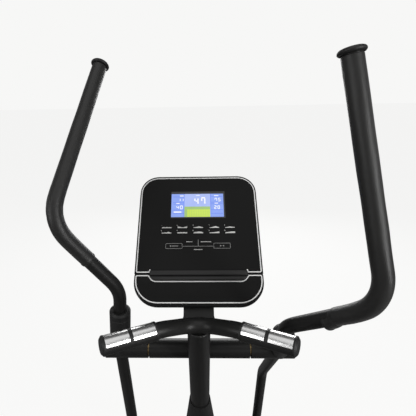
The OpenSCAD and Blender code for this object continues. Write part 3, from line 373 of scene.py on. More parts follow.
def metal_material(name, base, roughness, stretch, scale, bump, turn=0.0, mirrored=False):
    """Bare metal with fine lines. Stretch flattens the pattern along them, and turn aims them."""
    material, tree, shader, where = start_material(name)
    if mirrored:
        where = add(tree, "ShaderNodeVectorMath", {0: where}, operation="ABSOLUTE").outputs[0]
    for change in ({"Rotation": (0.0, 0.0, turn)}, {"Scale": stretch}):
        where = add(tree, "ShaderNodeMapping", {"Vector": where, **change}).outputs[0]
    lines = group_node(tree, "Brushed lines", {"Vector": where, "Scale": scale})
    dull = tuple(value * 0.86 for value in base)
    mixed = blend_colours(tree, lines["Lines"], (*dull, 1.0), (*base, 1.0))
    rough = add(
        tree,
        "ShaderNodeMapRange",
        {"Value": lines["Lines"], "To Min": roughness * 0.8, "To Max": roughness * 1.25},
    )
    surface(tree, shader, mixed, rough.outputs["Result"], lines["Height"], bump, 0.0002)
    shader.inputs["Metallic"].default_value = 1.0
    material.diffuse_color = (*base, 1.0)
    return material


def lit_material(name, base, strength):
    """A lit part of the screen. Its light drifts a little from the backlight's uneven spread."""
    material, tree, shader, where = start_material(name)
    tone = tone_of(tree, where, 30.0, base, 0.25, 0.3)
    tree.links.new(tone["Colour"], shader.inputs["Emission Color"])
    tree.links.new(tone["Roughness"], shader.inputs["Roughness"])
    shader.inputs["Base Color"].default_value = (0.01, 0.01, 0.012, 1.0)
    shader.inputs["Emission Strength"].default_value = strength
    material.diffuse_color = (*base, 1.0)
    return material


def make_materials(colours):
    """Every finish of the trainer, by name."""
    for build in (mottled_tone, moulded_grain, orange_peel, foam_cells, brushed_lines):
        build()
    coat = tuple(colours.powder_coat)
    plastic = tuple(colours.plastic)
    toned_material("powder_coat", coat, 0.40, "Orange peel", 420.0, 0.10, Specular_IOR_Level=0.35)
    toned_material("moulded_plastic", plastic, 0.50, "Moulded grain", 1100.0, 0.16)
    film = tuple(colours.overlay)
    toned_material("overlay_film", film, 0.38, "Orange peel", 1500.0, 0.05, Specular_IOR_Level=0.12)
    toned_material("pedal_plastic", tuple(colours.pedal), 0.62, "Moulded grain", 520.0, 0.35)
    toned_material("tyre_rubber", (0.016, 0.016, 0.016), 0.72, "Moulded grain", 700.0, 0.25)
    toned_material("ribbed_belt", (0.012, 0.012, 0.012), 0.7, "Moulded grain", 900.0, 0.2)
    toned_material("solder_mask", (0.02, 0.16, 0.06), 0.35, "Orange peel", 800.0, 0.05)
    toned_material("weld_seam", coat, 0.40, "Orange peel", 300.0, 0.2)
    iron = (0.12, 0.12, 0.125)
    toned_material("cast_flywheel", iron, 0.5, "Moulded grain", 400.0, 0.4, Metallic=1.0)
    for name, ink, roughness in (
        ("silver_line", colours.silver, 0.35),
        ("white_print", colours.print_white, 0.5),
        ("grey_print", colours.print_grey, 0.5),
    ):
        toned_material(name, tuple(ink), roughness, "Orange peel", 900.0, 0.03, drift=0.08)
    glass = (0.008, 0.008, 0.010)
    toned_material("screen_glass", glass, 0.12, "Orange peel", 200.0, 0.01, Coat_Weight=0.5)
    foam_material(tuple(colours.foam))
    bright = (0.86, 0.86, 0.855)
    metal_material("polished_plate", bright, 0.24, (0.02, 1.0, 1.0), 260.0, 0.05, 0.51, True)
    metal_material("turned_steel", (0.62, 0.62, 0.63), 0.28, (1.0, 0.1, 0.1), 400.0, 0.08)
    metal_material("zinc_plate", (0.55, 0.56, 0.59), 0.36, (1.0, 1.0, 1.0), 500.0, 0.12)
    metal_material("bearing_bronze", (0.52, 0.38, 0.19), 0.34, (1.0, 0.1, 0.1), 400.0, 0.1)
    for name, glow, strength in (
        ("screen_middle", colours.screen, 0.92),
        ("screen_side", colours.screen_side, 0.92),
        ("screen_line", colours.screen_line, 0.9),
        ("screen_digits", (0.95, 0.96, 1.0), 1.0),
        ("screen_bars", colours.bars, 0.92),
        ("screen_bars_idle", colours.bars_idle, 0.92),
    ):
        lit_material(name, tuple(glow), strength)


def finish(material, *nodes):
    """Gives CAD nodes a finish. Their shape and place stay as they are."""
    for name in nodes:
        slots = NODES[name].data.materials
        slots.clear()
        slots.append(bpy.data.materials[material])


# ---- Mesh helpers ----


def shade(mesh, sharp_degrees=32.0):
    """Smooth shading, with a crisp edge wherever the faces meet at more than this angle."""
    mesh.polygons.foreach_set("use_smooth", [True] * len(mesh.polygons))
    mesh.set_sharp_from_angle(angle=math.radians(sharp_degrees))


def mesh_of(name, points, faces):
    """A mesh from its points and faces."""
    mesh = bpy.data.meshes.new(name)
    mesh.from_pydata([tuple(p) for p in points], [], faces)
    mesh.validate()
    mesh.update()
    return mesh


def piece(name, mesh, body, material, place=None):
    """Puts a mesh into the scene as a piece that rides on a CAD body."""
    if place is not None:
        mesh.transform(place)
    mesh.name = name
    mesh.materials.clear()
    mesh.materials.append(bpy.data.materials[material])
    shade(mesh)
    made = bpy.data.objects.new(name, mesh)
    bpy.context.scene.collection.objects.link(made)
    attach(made, body)
    return made


def joined(meshes):
    """Several meshes as one."""
    whole = bmesh.new()
    for mesh in meshes:
        whole.from_mesh(mesh)
        bpy.data.meshes.remove(mesh)
    result = bpy.data.meshes.new("joined")
    whole.to_mesh(result)
    whole.free()
    return result


RIM_ANGLE = 1.2


def is_rim(edge):
    """Whether two faces meet at an edge about as squarely as a plate's face and side do."""
    return edge.calc_face_angle(0.0) > RIM_ANGLE


def plate(outlines, depth, top=0.0, edge=0.0, edge_steps=3):
    """A plate cut from flat outlines, holes included.

    Its upper face is at z = top, and edge rounds its rims.
    """
    curve = bpy.data.curves.new("outline", "CURVE")
    curve.dimensions = "2D"
    curve.fill_mode = "BOTH"
    curve.extrude = depth / 2
    for outline in outlines:
        spline = curve.splines.new("POLY")
        spline.points.add(len(outline) - 1)
        for point, place in zip(spline.points, outline):
            point.co = (place[0], place[1], 0.0, 1.0)
        spline.use_cyclic_u = True
    holder = bpy.data.objects.new("outline", curve)
    bpy.context.scene.collection.objects.link(holder)
    state = bpy.context.evaluated_depsgraph_get()
    mesh = bpy.data.meshes.new_from_object(holder.evaluated_get(state))
    bpy.data.objects.remove(holder)
    bpy.data.curves.remove(curve)
    solid = bmesh.new()
    solid.from_mesh(mesh)
    bmesh.ops.remove_doubles(solid, verts=solid.verts, dist=1e-6)
    bmesh.ops.dissolve_limit(solid, angle_limit=0.01, verts=solid.verts, edges=solid.edges)
    if edge > 0.0:
        rims = [e for e in solid.edges if len(e.link_faces) == 2 and is_rim(e)]
        bevel = {"segments": edge_steps, "profile": 0.5, "affect": "EDGES", "clamp_overlap": True}
        bmesh.ops.bevel(solid, geom=rims, offset=edge, **bevel)
    bmesh.ops.recalc_face_normals(solid, faces=solid.faces)
    bmesh.ops.translate(solid, verts=solid.verts, vec=(0.0, 0.0, top - depth / 2))
    solid.to_mesh(mesh)
    solid.free()
    return mesh


def arc(centre, radius, start, stop, steps=8):
    """Points along an arc, from start to stop in degrees."""
    turns = [math.radians(start + (stop - start) * i / steps) for i in range(steps + 1)]
    return [(centre[0] + radius * math.cos(t), centre[1] + radius * math.sin(t)) for t in turns]


def rounded_box(left, low, right, high, radius, steps=8):
    """The outline of a rectangle with round corners."""
    corners = ((right, high, 0), (left, high, 90), (left, low, 180), (right, low, 270))
    points = []
    for x, y, turn in corners:
        inner_x = x - math.copysign(radius, x - (left + right) / 2)
        inner_y = y - math.copysign(radius, y - (low + high) / 2)
        points += arc((inner_x, inner_y), radius, turn, turn + 90, steps)
    return points


def box(left, low, right, high):
    """The outline of a rectangle."""
    return [(left, low), (right, low), (right, high), (left, high)]


def stroke(points, width, closed=False):
    """The outline or outlines of a line of even width drawn through points."""
    count = len(points)
    sides = ([], [])
    for i, point in enumerate(points):
        before = points[i - 1] if closed or i > 0 else point
        after = points[(i + 1) % count] if closed or i < count - 1 else point
        into = Vector((point[0] - before[0], point[1] - before[1]))
        out = Vector((after[0] - point[0], after[1] - point[1]))
        into = into.normalized() if into.length > 1e-9 else out.normalized()
        out = out.normalized() if out.length > 1e-9 else into
        normal = Vector((-(into + out).y, (into + out).x)).normalized()
        reach = width / 2 / max(0.4, normal.dot(Vector((-into.y, into.x))))
        sides[0].append((point[0] + normal.x * reach, point[1] + normal.y * reach))
        sides[1].append((point[0] - normal.x * reach, point[1] - normal.y * reach))
    if closed:
        return [sides[0], sides[1]]
    return [sides[0] + sides[1][::-1]]


def loft(rings, cap_start=True, cap_end=True):
    """A skin over closed rings that have the same number of points."""
    count = len(rings[0])
    points = [p for ring in rings for p in ring]
    faces = []
    for r in range(len(rings) - 1):
        for i in range(count):
            j = (i + 1) % count
            faces.append((r * count + i, r * count + j, (r + 1) * count + j, (r + 1) * count + i))
    if cap_start:
        faces.append(tuple(reversed(range(count))))
    if cap_end:
        faces.append(tuple(range((len(rings) - 1) * count, len(rings) * count)))
    mesh = mesh_of("loft", points, faces)
    skin = bmesh.new()
    skin.from_mesh(mesh)
    bmesh.ops.recalc_face_normals(skin, faces=skin.faces)
    skin.to_mesh(mesh)
    skin.free()
    return mesh


def across(direction):
    """Two unit vectors square to a direction."""
    side = direction.cross(UP)
    if side.length < 1e-4:
        side = direction.cross(Vector((1.0, 0.0, 0.0)))
    side.normalize()
    return side, direction.cross(side).normalized()


def lathe(profile, base, along, around=56):
    """A turned solid. The profile holds pairs of radius and distance along, from end to end."""
    along = along.normalized()
    side, other = across(along)
    turns = [2 * math.pi * i / around for i in range(around)]
    spokes = [side * math.cos(t) + other * math.sin(t) for t in turns]
    rings = []
    for radius, reach in profile:
        centre = base + along * reach
        rings.append([centre + spoke * max(radius, 1e-5) for spoke in spokes])
    return loft(rings)


def swept(path, radius_at, around=40, hole=None, closed=False):
    """A round section swept along a path.

    radius_at takes the distance along the path and the turn about it. hole is the radius of a bore.
    """
    count = len(path)
    distance = 0.0
    direction = (path[1] - path[0]).normalized()
    side, _ = across(direction)
    rings = []
    bore = []
    turns = [2 * math.pi * k / around for k in range(around)]
    for i, point in enumerate(path):
        ahead = path[(i + 1) % count] if closed or i < count - 1 else point
        back = path[i - 1] if closed or i > 0 else point
        direction = (ahead - back).normalized()
        side = (side - direction * side.dot(direction)).normalized()
        other = direction.cross(side)
        if i:
            distance += (point - path[i - 1]).length
        spokes = [side * math.cos(t) + other * math.sin(t) for t in turns]
        rings.append([point + spoke * radius_at(distance, t) for spoke, t in zip(spokes, turns)])
        bore.append([point + spoke * (hole or 0.0) for spoke in spokes])
    if closed:
        return loft(rings + [rings[0]], False, False)
    if hole:
        return loft(rings + bore[::-1] + [rings[0]], False, False)
    return loft(rings)


def centreline(name, margin, spacing):
    """The middle of a CAD tube, from level slices of its mesh, out to its ends and evenly spaced."""
    mesh = NODES[name].data
    mesh.calc_loop_triangles()
    points = np.empty(len(mesh.vertices) * 3)
    mesh.vertices.foreach_get("co", points)
    points = points.reshape(-1, 3)
    corners = np.empty(len(mesh.loop_triangles) * 3, dtype=np.int32)
    mesh.loop_triangles.foreach_get("vertices", corners)
    triangles = points[corners.reshape(-1, 3)]
    low, high = points[:, 2].min() + margin, points[:, 2].max() - margin
    middles = []
    for level in np.linspace(low, high, 90):
        above = triangles[:, :, 2] > level
        cut = triangles[above.any(1) & ~above.all(1)]
        ends = []
        for a, b in ((0, 1), (1, 2), (2, 0)):
            p, q = cut[:, a], cut[:, b]
            crosses = (p[:, 2] > level) != (q[:, 2] > level)
            rise = np.where(crosses, q[:, 2] - p[:, 2], 1.0)
            met = p + (q - p) * ((level - p[:, 2]) / rise)[:, None]
            ends.append(np.where(crosses[:, None], met, np.nan))
        ends = np.stack(ends, 1)
        middle = np.nanmean(ends, 1)
        spans = np.linalg.norm(np.nanmax(ends, 1) - np.nanmin(ends, 1), axis=1)
        middles.append(Vector((middle * spans[:, None]).sum(0) / spans.sum()))
    for end, inner in ((0, 4), (-1, -5)):
        out = (middles[end] - middles[inner]).normalized()
        reach = ((points - np.array(middles[end])) @ np.array(out)).max()
        middles.insert(0 if end == 0 else len(middles), middles[end] + out * reach)
    lengths = [0.0]
    for a, b in zip(middles, middles[1:]):
        lengths.append(lengths[-1] + (b - a).length)
    places = np.linspace(0.0, lengths[-1], max(2, round(lengths[-1] / spacing)))
    coordinates = np.array(middles)
    even = [np.interp(places, lengths, coordinates[:, k]) for k in range(3)]
    return [Vector(p) for p in zip(*even)]


def on_side(side, x, y, z):
    """Stands a flat mesh on a side of the machine, facing outwards."""
    turn = Matrix(((0, 0, side), (side, 0, 0), (0, 1, 0))).to_4x4()
    return Matrix.Translation((side * x, y, z)) @ turn


# ---- Console ----


def console_place():
    """Where the face's plane lies. Its origin is on the ledge line, its Y up the face."""
    c = bpy.context.scene.trainer_console
    at = AXLE + Vector((0.0, -c.ledge_back, c.ledge_up))
    return Matrix.Translation(at) @ Matrix.Rotation(math.pi / 2 - c.tilt, 4, "X")


LEDGE_HALF = 0.120
LEDGE_LOW = -0.002
LEDGE_CORNER = 0.016
LEDGE_GAP = 0.0005
NOTCH_HALF = 0.1213
NOTCH_TOP = 0.0235


def ledge_edge(grow):
    """The lower edge of the tablet ledge from left to right, moved outwards by grow."""
    across_by, up_by = LEDGE_HALF - LEDGE_CORNER, LEDGE_LOW + LEDGE_CORNER
    left = arc((-across_by, up_by), LEDGE_CORNER + grow, 180, 270)
    right = arc((across_by, up_by), LEDGE_CORNER + grow, 270, 360)
    return left + right


def face_outline(c):
    """The face above the split, with a notch for the tablet ledge."""
    half = c.width / 2
    bottom = c.split + c.split_gap / 2
    outline = [(-half, bottom), (-NOTCH_HALF, bottom), (-NOTCH_HALF, NOTCH_TOP)]
    outline += [(NOTCH_HALF, NOTCH_TOP), (NOTCH_HALF, bottom), (half, bottom)]
    outline += arc((half - c.corner, c.top - c.corner), c.corner, 0, 90, 14)
    outline += arc((-half + c.corner, c.top - c.corner), c.corner, 90, 180, 14)
    return outline


def panel_outline(c):
    """The lower panel, cut out for the tablet ledge."""
    half = c.width / 2
    top = c.split - c.split_gap / 2
    cut = ledge_edge(LEDGE_GAP)
    outline = arc((-half + c.low_corner, -c.below + c.low_corner), c.low_corner, 180, 270, 16)
    outline += arc((half - c.low_corner, -c.below + c.low_corner), c.low_corner, 270, 360, 16)
    outline += [(half, top), (cut[-1][0], top)]
    outline += cut[::-1][1:-1]
    outline += [(cut[0][0], top), (-half, top)]
    return outline


KEYS = {
    "start": ((-0.0625, 0.0873), (0.044, 0.016)),
    "enter": ((0.0608, 0.0876), (0.044, 0.016)),
    "mode": ((-0.0228, 0.0985), (0.024, 0.009)),
    "recovery": ((0.0202, 0.0985), (0.030, 0.009)),
    "reset": ((0.0, 0.0775), (0.024, 0.009)),
}
KEY_GAP = 0.0004
KEY_CORNER = 0.003
SCREEN = (-0.0723, 0.169, 0.0689, 0.2385)
SCREEN_WINDOW = (-0.0732, 0.1658, 0.0732, 0.2462)


def key_box(name, grow=0.0):
    """A key's outline, moved outwards by grow."""
    (x, y), (w, h) = KEYS[name]
    across_by, up_by = w / 2 + grow, h / 2 + grow
    return rounded_box(x - across_by, y - up_by, x + across_by, y + up_by, KEY_CORNER + grow, 5)


class TRAINER_OT_console_shell(Operator):
    """Casing of the console: face, lower panel, tablet ledge and rounded rear shell"""

    bl_idname = "trainer.console_shell"
    bl_label = "Console casing"

    def execute(self, context):
        c = context.scene.trainer_console
        place = console_place()
        holes = [key_box(name, KEY_GAP) for name in KEYS] + [box(*SCREEN_WINDOW)]
        face = plate([face_outline(c)] + holes, c.face_depth, 0.0)
        self.round_rim(face, c.edge_round)
        made = piece("console_front", face, "frame", "overlay_film", place)
        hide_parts("console_face")
        panel = plate([panel_outline(c)], c.face_depth, 0.0, c.edge_round)
        made = piece("console_apron", panel, "frame", "overlay_film", place)
        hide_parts("console_lower_panel")
        made = piece("tablet_rest", self.ledge(), "frame", "moulded_plastic", place)
        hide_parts("tablet_ledge")
        made = piece("console_back", self.rear(c), "frame", "moulded_plastic", place)
        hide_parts("console_rear_shell")
        detail = self.back_detail()
        piece("console_back_detail", detail, "frame", "moulded_plastic", place)
        return {"FINISHED"}

    @staticmethod
    def round_rim(mesh, radius):
        """Rounds only the outer rim of the face, and leaves its openings crisp."""
        solid = bmesh.new()
        solid.from_mesh(mesh)
        low = min(v.co.y for v in solid.verts) + 0.0005
        high = max(v.co.z for v in solid.verts) - 1e-5

        def outer(v):
            return v.co.z > high and (abs(v.co.x) > 0.1225 or v.co.y > 0.262) and v.co.y > low

        rims = [e for e in solid.edges if all(outer(v) for v in e.verts) and is_rim(e)]
        bmesh.ops.bevel(solid, geom=rims, offset=radius, segments=4, profile=0.5, affect="EDGES")
        solid.to_mesh(mesh)
        solid.free()

    @staticmethod
    def ledge():
        """The lip in front, the floor of the trough and the shelf behind it."""
        lip = [p for p in ledge_edge(0.0) if p[1] < 0.005]
        lip = [(-0.118, 0.005)] + lip + [(0.118, 0.005)]
        floor = box(-0.1195, 0.004, 0.1195, 0.012)
        shelf = [(-0.1203, 0.011), (0.1203, 0.011), (0.1209, 0.0215), (0.119, 0.023), (-0.119, 0.023)]
        shelf += [(-0.1209, 0.0215)]
        return joined([
            plate([lip], 0.016, 0.011, 0.0018, 4),
            plate([floor], 0.0028, -0.002),
            plate([shelf], 0.009, 0.004, 0.0012, 3),
        ])

    @staticmethod
    def rear(c):
        """Rings from the face back to the closed rear wall, each given by its inset and its depth."""
        rings = []
        for inset, depth in (
            (0.0012, 0.0051), (0.0004, 0.0056), (0.0, 0.0066), (0.0, 0.0130),
            (0.0006, 0.0166), (0.0024, 0.0196), (0.0050, 0.0214), (0.0085, 0.0222),
            (0.0185, 0.0232), (0.0225, 0.0246), (0.0248, 0.0272), (0.0258, 0.0310),
            (0.0270, 0.0420), (0.0280, 0.0462), (0.0302, 0.0486), (0.0340, 0.0498),
            (0.0400, 0.0500),
        ):
            half, top, low = c.width / 2 - inset, c.top - inset, -c.below + inset
            upper, lower = c.corner - inset, c.low_corner - inset
            outline = arc((half - upper, top - upper), upper, 0, 90, 12)
            outline += arc((-half + upper, top - upper), upper, 90, 180, 12)
            outline += arc((-half + lower, low + lower), lower, 180, 270, 12)
            outline += arc((half - lower, low + lower), lower, 270, 360, 12)
            rings.append([Vector((x, y, -depth)) for x, y in outline])
        return loft(rings)

    @staticmethod
    def back_detail():
        """Louvres, a cover plate and four screws, turned round to face out of the rear wall."""
        bars = []
        for i in range(9):
            y = 0.178 + i * 0.0072
            louvre = rounded_box(-0.052, y, 0.052, y + 0.0034, 0.0016, 4)
            bars.append(plate([louvre], 0.003, 0.0016, 0.0009, 2))
        cover = rounded_box(-0.048, 0.060, 0.048, 0.128, 0.006, 6)
        bars.append(plate([cover], 0.0022, 0.0010, 0.0007, 2))
        for x, y in ((-0.105, 0.012), (0.105, 0.012), (-0.105, 0.228), (0.105, 0.228)):
            outer, inner, head = (arc((x, y), r, 0, 345, 23) for r in (0.0068, 0.0045, 0.0040))
            slot = box(x - 0.0026, y - 0.0005, x + 0.0026, y + 0.0005)
            bars.append(plate([outer, inner], 0.002, 0.0012, 0.0005, 2))
            bars.append(plate([head, slot], 0.002, 0.0006))
        mesh = joined(bars)
        mesh.transform(Matrix.Translation((0.0, 0.0, -0.0500)) @ Matrix.Rotation(math.pi, 4, "Y"))
        return mesh


class TRAINER_OT_console_trim(Operator):
    """Silver lines round the console's face and lower panel"""

    bl_idname = "trainer.console_trim"
    bl_label = "Console trim"

    def execute(self, context):
        c = context.scene.trainer_console
        side = c.width / 2 - c.trim_inset
        corner = c.corner - c.trim_inset
        crown = c.top - c.trim_top
        foot = 0.0193
        cut = 0.002
        upper = [(0.1205, 0.026), (0.123, foot), (side - cut, foot), (side, foot + cut)]
        upper += arc((side - corner, crown - corner), corner, 0, 90, 14)
        upper += arc((-side + corner, crown - corner), corner, 90, 180, 14)
        upper += [(-side, foot + cut), (-side + cut, foot), (-0.123, foot), (-0.1205, 0.026)]
        head = 0.0105
        corner = c.low_corner - c.trim_inset
        bottom = -c.below + 0.0088
        dip = [p for p in ledge_edge(0.0022) if p[1] < head - 0.004]
        lower = [(-0.124, head), (-side + cut, head), (-side, head - cut)]
        lower += arc((-side + corner, bottom + corner), corner, 180, 270, 14)
        lower += arc((side - corner, bottom + corner), corner, 270, 360, 14)
        lower += [(side, head - cut), (side - cut, head), (0.124, head)]
        lower += dip[::-1]
        outlines = stroke(upper, c.trim_width) + stroke(lower, c.trim_width, closed=True)
        mesh = joined([plate(outlines[:1], 0.0004, c.ink), plate(outlines[1:], 0.0004, c.ink)])
        piece("console_trim", mesh, "frame", "silver_line", console_place())
        return {"FINISHED"}


SEGMENTS = {
    "0": "abcdef", "1": "bc", "2": "abged", "3": "abgcd", "4": "fgbc",
    "5": "afgcd", "6": "afgedc", "7": "fabc", "8": "abcdefg", "9": "abcdfg",
}


def digits(text, left, low, width, height, thick, gap):
    """Seven-segment digits, as a list of outlines."""
    outlines = []
    for i, figure in enumerate(text):
        x = left + i * (width + gap)
        mid = low + height / 2
        bars = {
            "a": box(x + thick * 0.3, low + height - thick, x + width - thick * 0.3, low + height),
            "d": box(x + thick * 0.3, low, x + width - thick * 0.3, low + thick),
            "g": box(x + thick * 1.05, mid - thick / 2, x + width - thick * 1.05, mid + thick / 2),
            "f": box(x, mid + thick * 0.1, x + thick, low + height - thick * 1.1),
            "b": box(x + width - thick, mid + thick * 0.1, x + width, low + height - thick * 1.1),
            "e": box(x, low + thick * 1.1, x + thick, mid - thick * 0.1),
            "c": box(x + width - thick, low + thick * 1.1, x + width, mid - thick * 0.1),
        }
        outlines += [bars[name] for name in SEGMENTS[figure]]
    return outlines


def layer(name, outlines, lift, material, place, body="frame"):
    """A thin printed or lit layer on the console."""
    mesh = joined([plate([outline], 0.00004, lift) for outline in outlines])
    return piece(name, mesh, body, material, place)


class TRAINER_OT_display(Operator):
    """Lit screen: two columns of readings, a large reading and a block of bars"""

    bl_idname = "trainer.display"
    bl_label = "Display"

    def execute(self, context):
        place = console_place()
        finish("screen_glass", "display_module")
        left, low, right, high = SCREEN
        first, second = -0.0375, 0.0340
        columns = [box(left, low, first, high), box(second, low, right, high)]
        layer("screen_columns", columns, 0.00002, "screen_side", place)
        layer("screen_middle", [box(first, low, second, high)], 0.00002, "screen_middle", place)
        lines = [box(first - 0.0009, low, first + 0.0003, high)]
        lines += [box(second - 0.0003, low, second + 0.0009, high)]
        rows = (0.2290, 0.2120, 0.2072, 0.1892, 0.1785)
        for y in rows:
            lines.append(box(left + 0.004, y, first - 0.001, y + 0.0010))
            lines.append(box(second + 0.001, y, right - 0.002, y + 0.0010))
        layer("screen_lines", lines, 0.00008, "screen_line", place)
        idle = [box(-0.0368, low, 0.0328, 0.1998)]
        layer("screen_bars_idle", idle, 0.00008, "screen_bars_idle", place)
        bars = []
        for i in range(10):
            x = -0.0294 + i * 0.00622
            for k in range(4):
                y = low + k * 0.0056
                bars.append(box(x + 0.00022, y + 0.0002, x + 0.0060, y + 0.0054))
        layer("screen_bars", bars, 0.00014, "screen_bars", place)
        marks = digits("47", -0.0101, 0.2045, 0.0120, 0.0236, 0.0036, 0.0065)
        marks += digits("11", -0.0535, 0.2150, 0.0058, 0.0108, 0.0019, 0.0026)
        marks += digits("40", -0.0590, 0.1920, 0.0076, 0.0112, 0.0020, 0.0026)
        marks += digits("75", 0.0452, 0.2150, 0.0068, 0.0106, 0.0019, 0.0026)
        marks += digits("20", 0.0435, 0.1920, 0.0066, 0.0104, 0.0019, 0.0024)
        marks += [box(-0.0656, 0.1818, -0.0448, 0.1854), box(-0.0495, 0.2310, -0.0390, 0.2338)]
        marks += [box(-0.0590, 0.2083, -0.0500, 0.2107), box(0.0440, 0.2312, 0.0560, 0.2336)]
        marks += [box(0.0450, 0.2083, 0.0545, 0.2107), box(-0.0055, 0.2328, 0.0045, 0.2345)]
        layer("screen_digits", marks, 0.00020, "screen_digits", place)
        return {"FINISHED"}


# Heights of the ten printed programme profiles, from 0 to 1
PROFILES = (
    (0.35, 0.55, 0.35, 0.60, 0.40, 0.55, 0.35),
    (1.0, 0.75, 0.5, 0.3, 0.45, 0.8, 1.0),
    (0.1, 0.3, 0.6, 0.9, 0.9, 0.5, 0.2),
    (0.1, 0.2, 0.5, 0.9, 1.0, 0.6, 0.2),
    (0.2, 0.3, 0.6, 0.8, 0.5, 0.4, 0.1),
    (0.4, 0.3, 0.6, 0.4, 1.0, 0.6, 0.2),
    (0.8, 0.5, 0.8, 0.5, 0.8, 0.5, 0.8),
    (0.2, 0.8, 0.8, 1.0, 1.0, 0.8, 0.3),
    (0.3, 0.35, 0.45, 0.55, 0.7, 0.85, 1.0),
    (0.3, 0.5, 0.7, 0.8, 0.9, 0.9, 0.8),
)
PROFILE_COLUMNS = (-0.0951, -0.0541, -0.0123, 0.0299, 0.0708)
PROFILE_ROWS = (0.1372, 0.1222)
PROFILE_STEP = 0.0042


def label_marks(x, y, width, height=0.0020):
    """A row of small blocks that stands for a printed label."""
    count = max(2, round(width / 0.0027))
    pitch = width / count
    starts = [x - width / 2 + i * pitch for i in range(count)]
    return [box(at, y - height / 2, at + 0.76 * pitch, y + height / 2) for at in starts]


class TRAINER_OT_console_print(Operator):
    """Programme profiles with their numbers, and the joining line printed on the console"""

    bl_idname = "trainer.console_print"
    bl_label = "Console print"

    def execute(self, context):
        c = context.scene.trainer_console
        place = console_place()
        profiles = []
        for i, heights in enumerate(PROFILES):
            x, y = PROFILE_COLUMNS[i % 5], PROFILE_ROWS[i // 5]
            skyline = [(x + PROFILE_STEP * k, y + 0.0008 + 0.0038 * h) for k, h in enumerate(heights)]
            profiles.append([(x, y), (x + PROFILE_STEP * 6, y)] + skyline[::-1])
            profiles += digits(str((i + 1) % 10), x - 0.0022, y + 0.0062, 0.0018, 0.0030, 0.0006, 0.0)
        layer("programme_profiles", profiles, c.ink, "white_print", place)
        lines = [box(-0.0400, 0.0861, 0.0385, 0.0871), box(-0.0006, 0.0871, 0.0006, 0.1045)]
        layer("joining_line", lines, c.ink, "grey_print", place)
        return {"FINISHED"}


class TRAINER_OT_keys(Operator):
    """The five keys: their printed outlines and marks, each riding on its key"""

    bl_idname = "trainer.keys"
    bl_label = "Keys"

    def execute(self, context):
        c = context.scene.trainer_console
        place = console_place()
        proud = 0.0004 + c.ink
        for name in ("start", "enter"):
            (x, y), _ = KEYS[name]
            ring = plate([key_box(name, -0.0006), key_box(name, -0.0014)], 0.0002, proud)
            if name == "start":
                signs = [[(x - 0.010, y - 0.0022), (x - 0.006, y), (x - 0.010, y + 0.0022)]]
                signs += label_marks(x + 0.003, y, 0.017)
            else:
                signs = [[(x - 0.005, y - 0.0020), (x - 0.001, y), (x - 0.005, y + 0.0020)]]
                signs += [[(x + 0.005, y - 0.0020), (x + 0.005, y + 0.0020), (x + 0.001, y)]]
            mesh = joined([ring] + [plate([sign], 0.0002, proud) for sign in signs])
            piece(f"key_{name}_print", mesh, f"key_{name}", "grey_print", place)
        for name, width in (("mode", 0.016), ("recovery", 0.027), ("reset", 0.022)):
            (x, y), _ = KEYS[name]
            mesh = joined([plate([mark], 0.0002, proud) for mark in label_marks(x, y, width)])
            piece(f"key_{name}_print", mesh, f"key_{name}", "white_print", place)
        finish("overlay_film", *[f"key_{name}" for name in KEYS])
        return {"FINISHED"}


# ---- Grips and arms ----

PATH_MARGIN = 0.024
PATH_SPACING = 0.0022


def foam_path(side):
    """The middle of a foam grip, from its start up to its cap."""
    return centreline(f"foam_grip_{side}", PATH_MARGIN, PATH_SPACING)


class TRAINER_OT_foam_grips(Operator):
    """Foam grips on the swing arms, with a cuff, soft unevenness and creases inside the bend"""

    bl_idname = "trainer.foam_grips"
    bl_label = "Foam grips"

    def execute(self, context):
        g = context.scene.trainer_grips
        for side in SIDES:
            path = foam_path(side)
            total = sum((b - a).length for a, b in zip(path, path[1:]))
            mesh = swept(path, self.radius(g, path, total, SIDES[side]), 56, g.foam_hole)
            made = piece(f"foam_sleeve_{side}", mesh, f"{side}_arm", "closed_cell_foam")
            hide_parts(f"foam_grip_{side}")
        return {"FINISHED"}

    @staticmethod
    def radius(g, path, total, seed):
        """The foam's radius at each place: round ends, a cuff at the start, creases at the bend."""
        runs = [(b - a).normalized() for a, b in zip(path, path[3:])]
        turns = [before.angle(after, 0.0) for before, after in zip(runs, runs[3:])]
        bend_at = total * (3 + int(np.argmax(np.convolve(turns, np.ones(15), "same")))) / len(path)
        edge = 0.0022

        def at(distance, turn):
            near = min(distance, total - distance)
            rounding = 0.0 if near >= edge else edge - math.sqrt(max(edge**2 - (edge - near) ** 2, 0.0))
            cuff = g.cuff * math.exp(-((distance - 0.0055) / 0.0032) ** 2)
            place = Vector((distance * 22.0, 1.4 * math.cos(turn) + 9.0 * seed, 1.4 * math.sin(turn)))
            wander = g.foam_unevenness * noise.noise(place) * 1.6
            inside = math.exp(-((distance - bend_at) / 0.034) ** 2)
            crease = -g.wrinkle * inside * max(0.0, math.sin(distance / 0.0034)) ** 3
            return g.foam_radius + cuff + wander + crease - rounding * 0.85

        return at


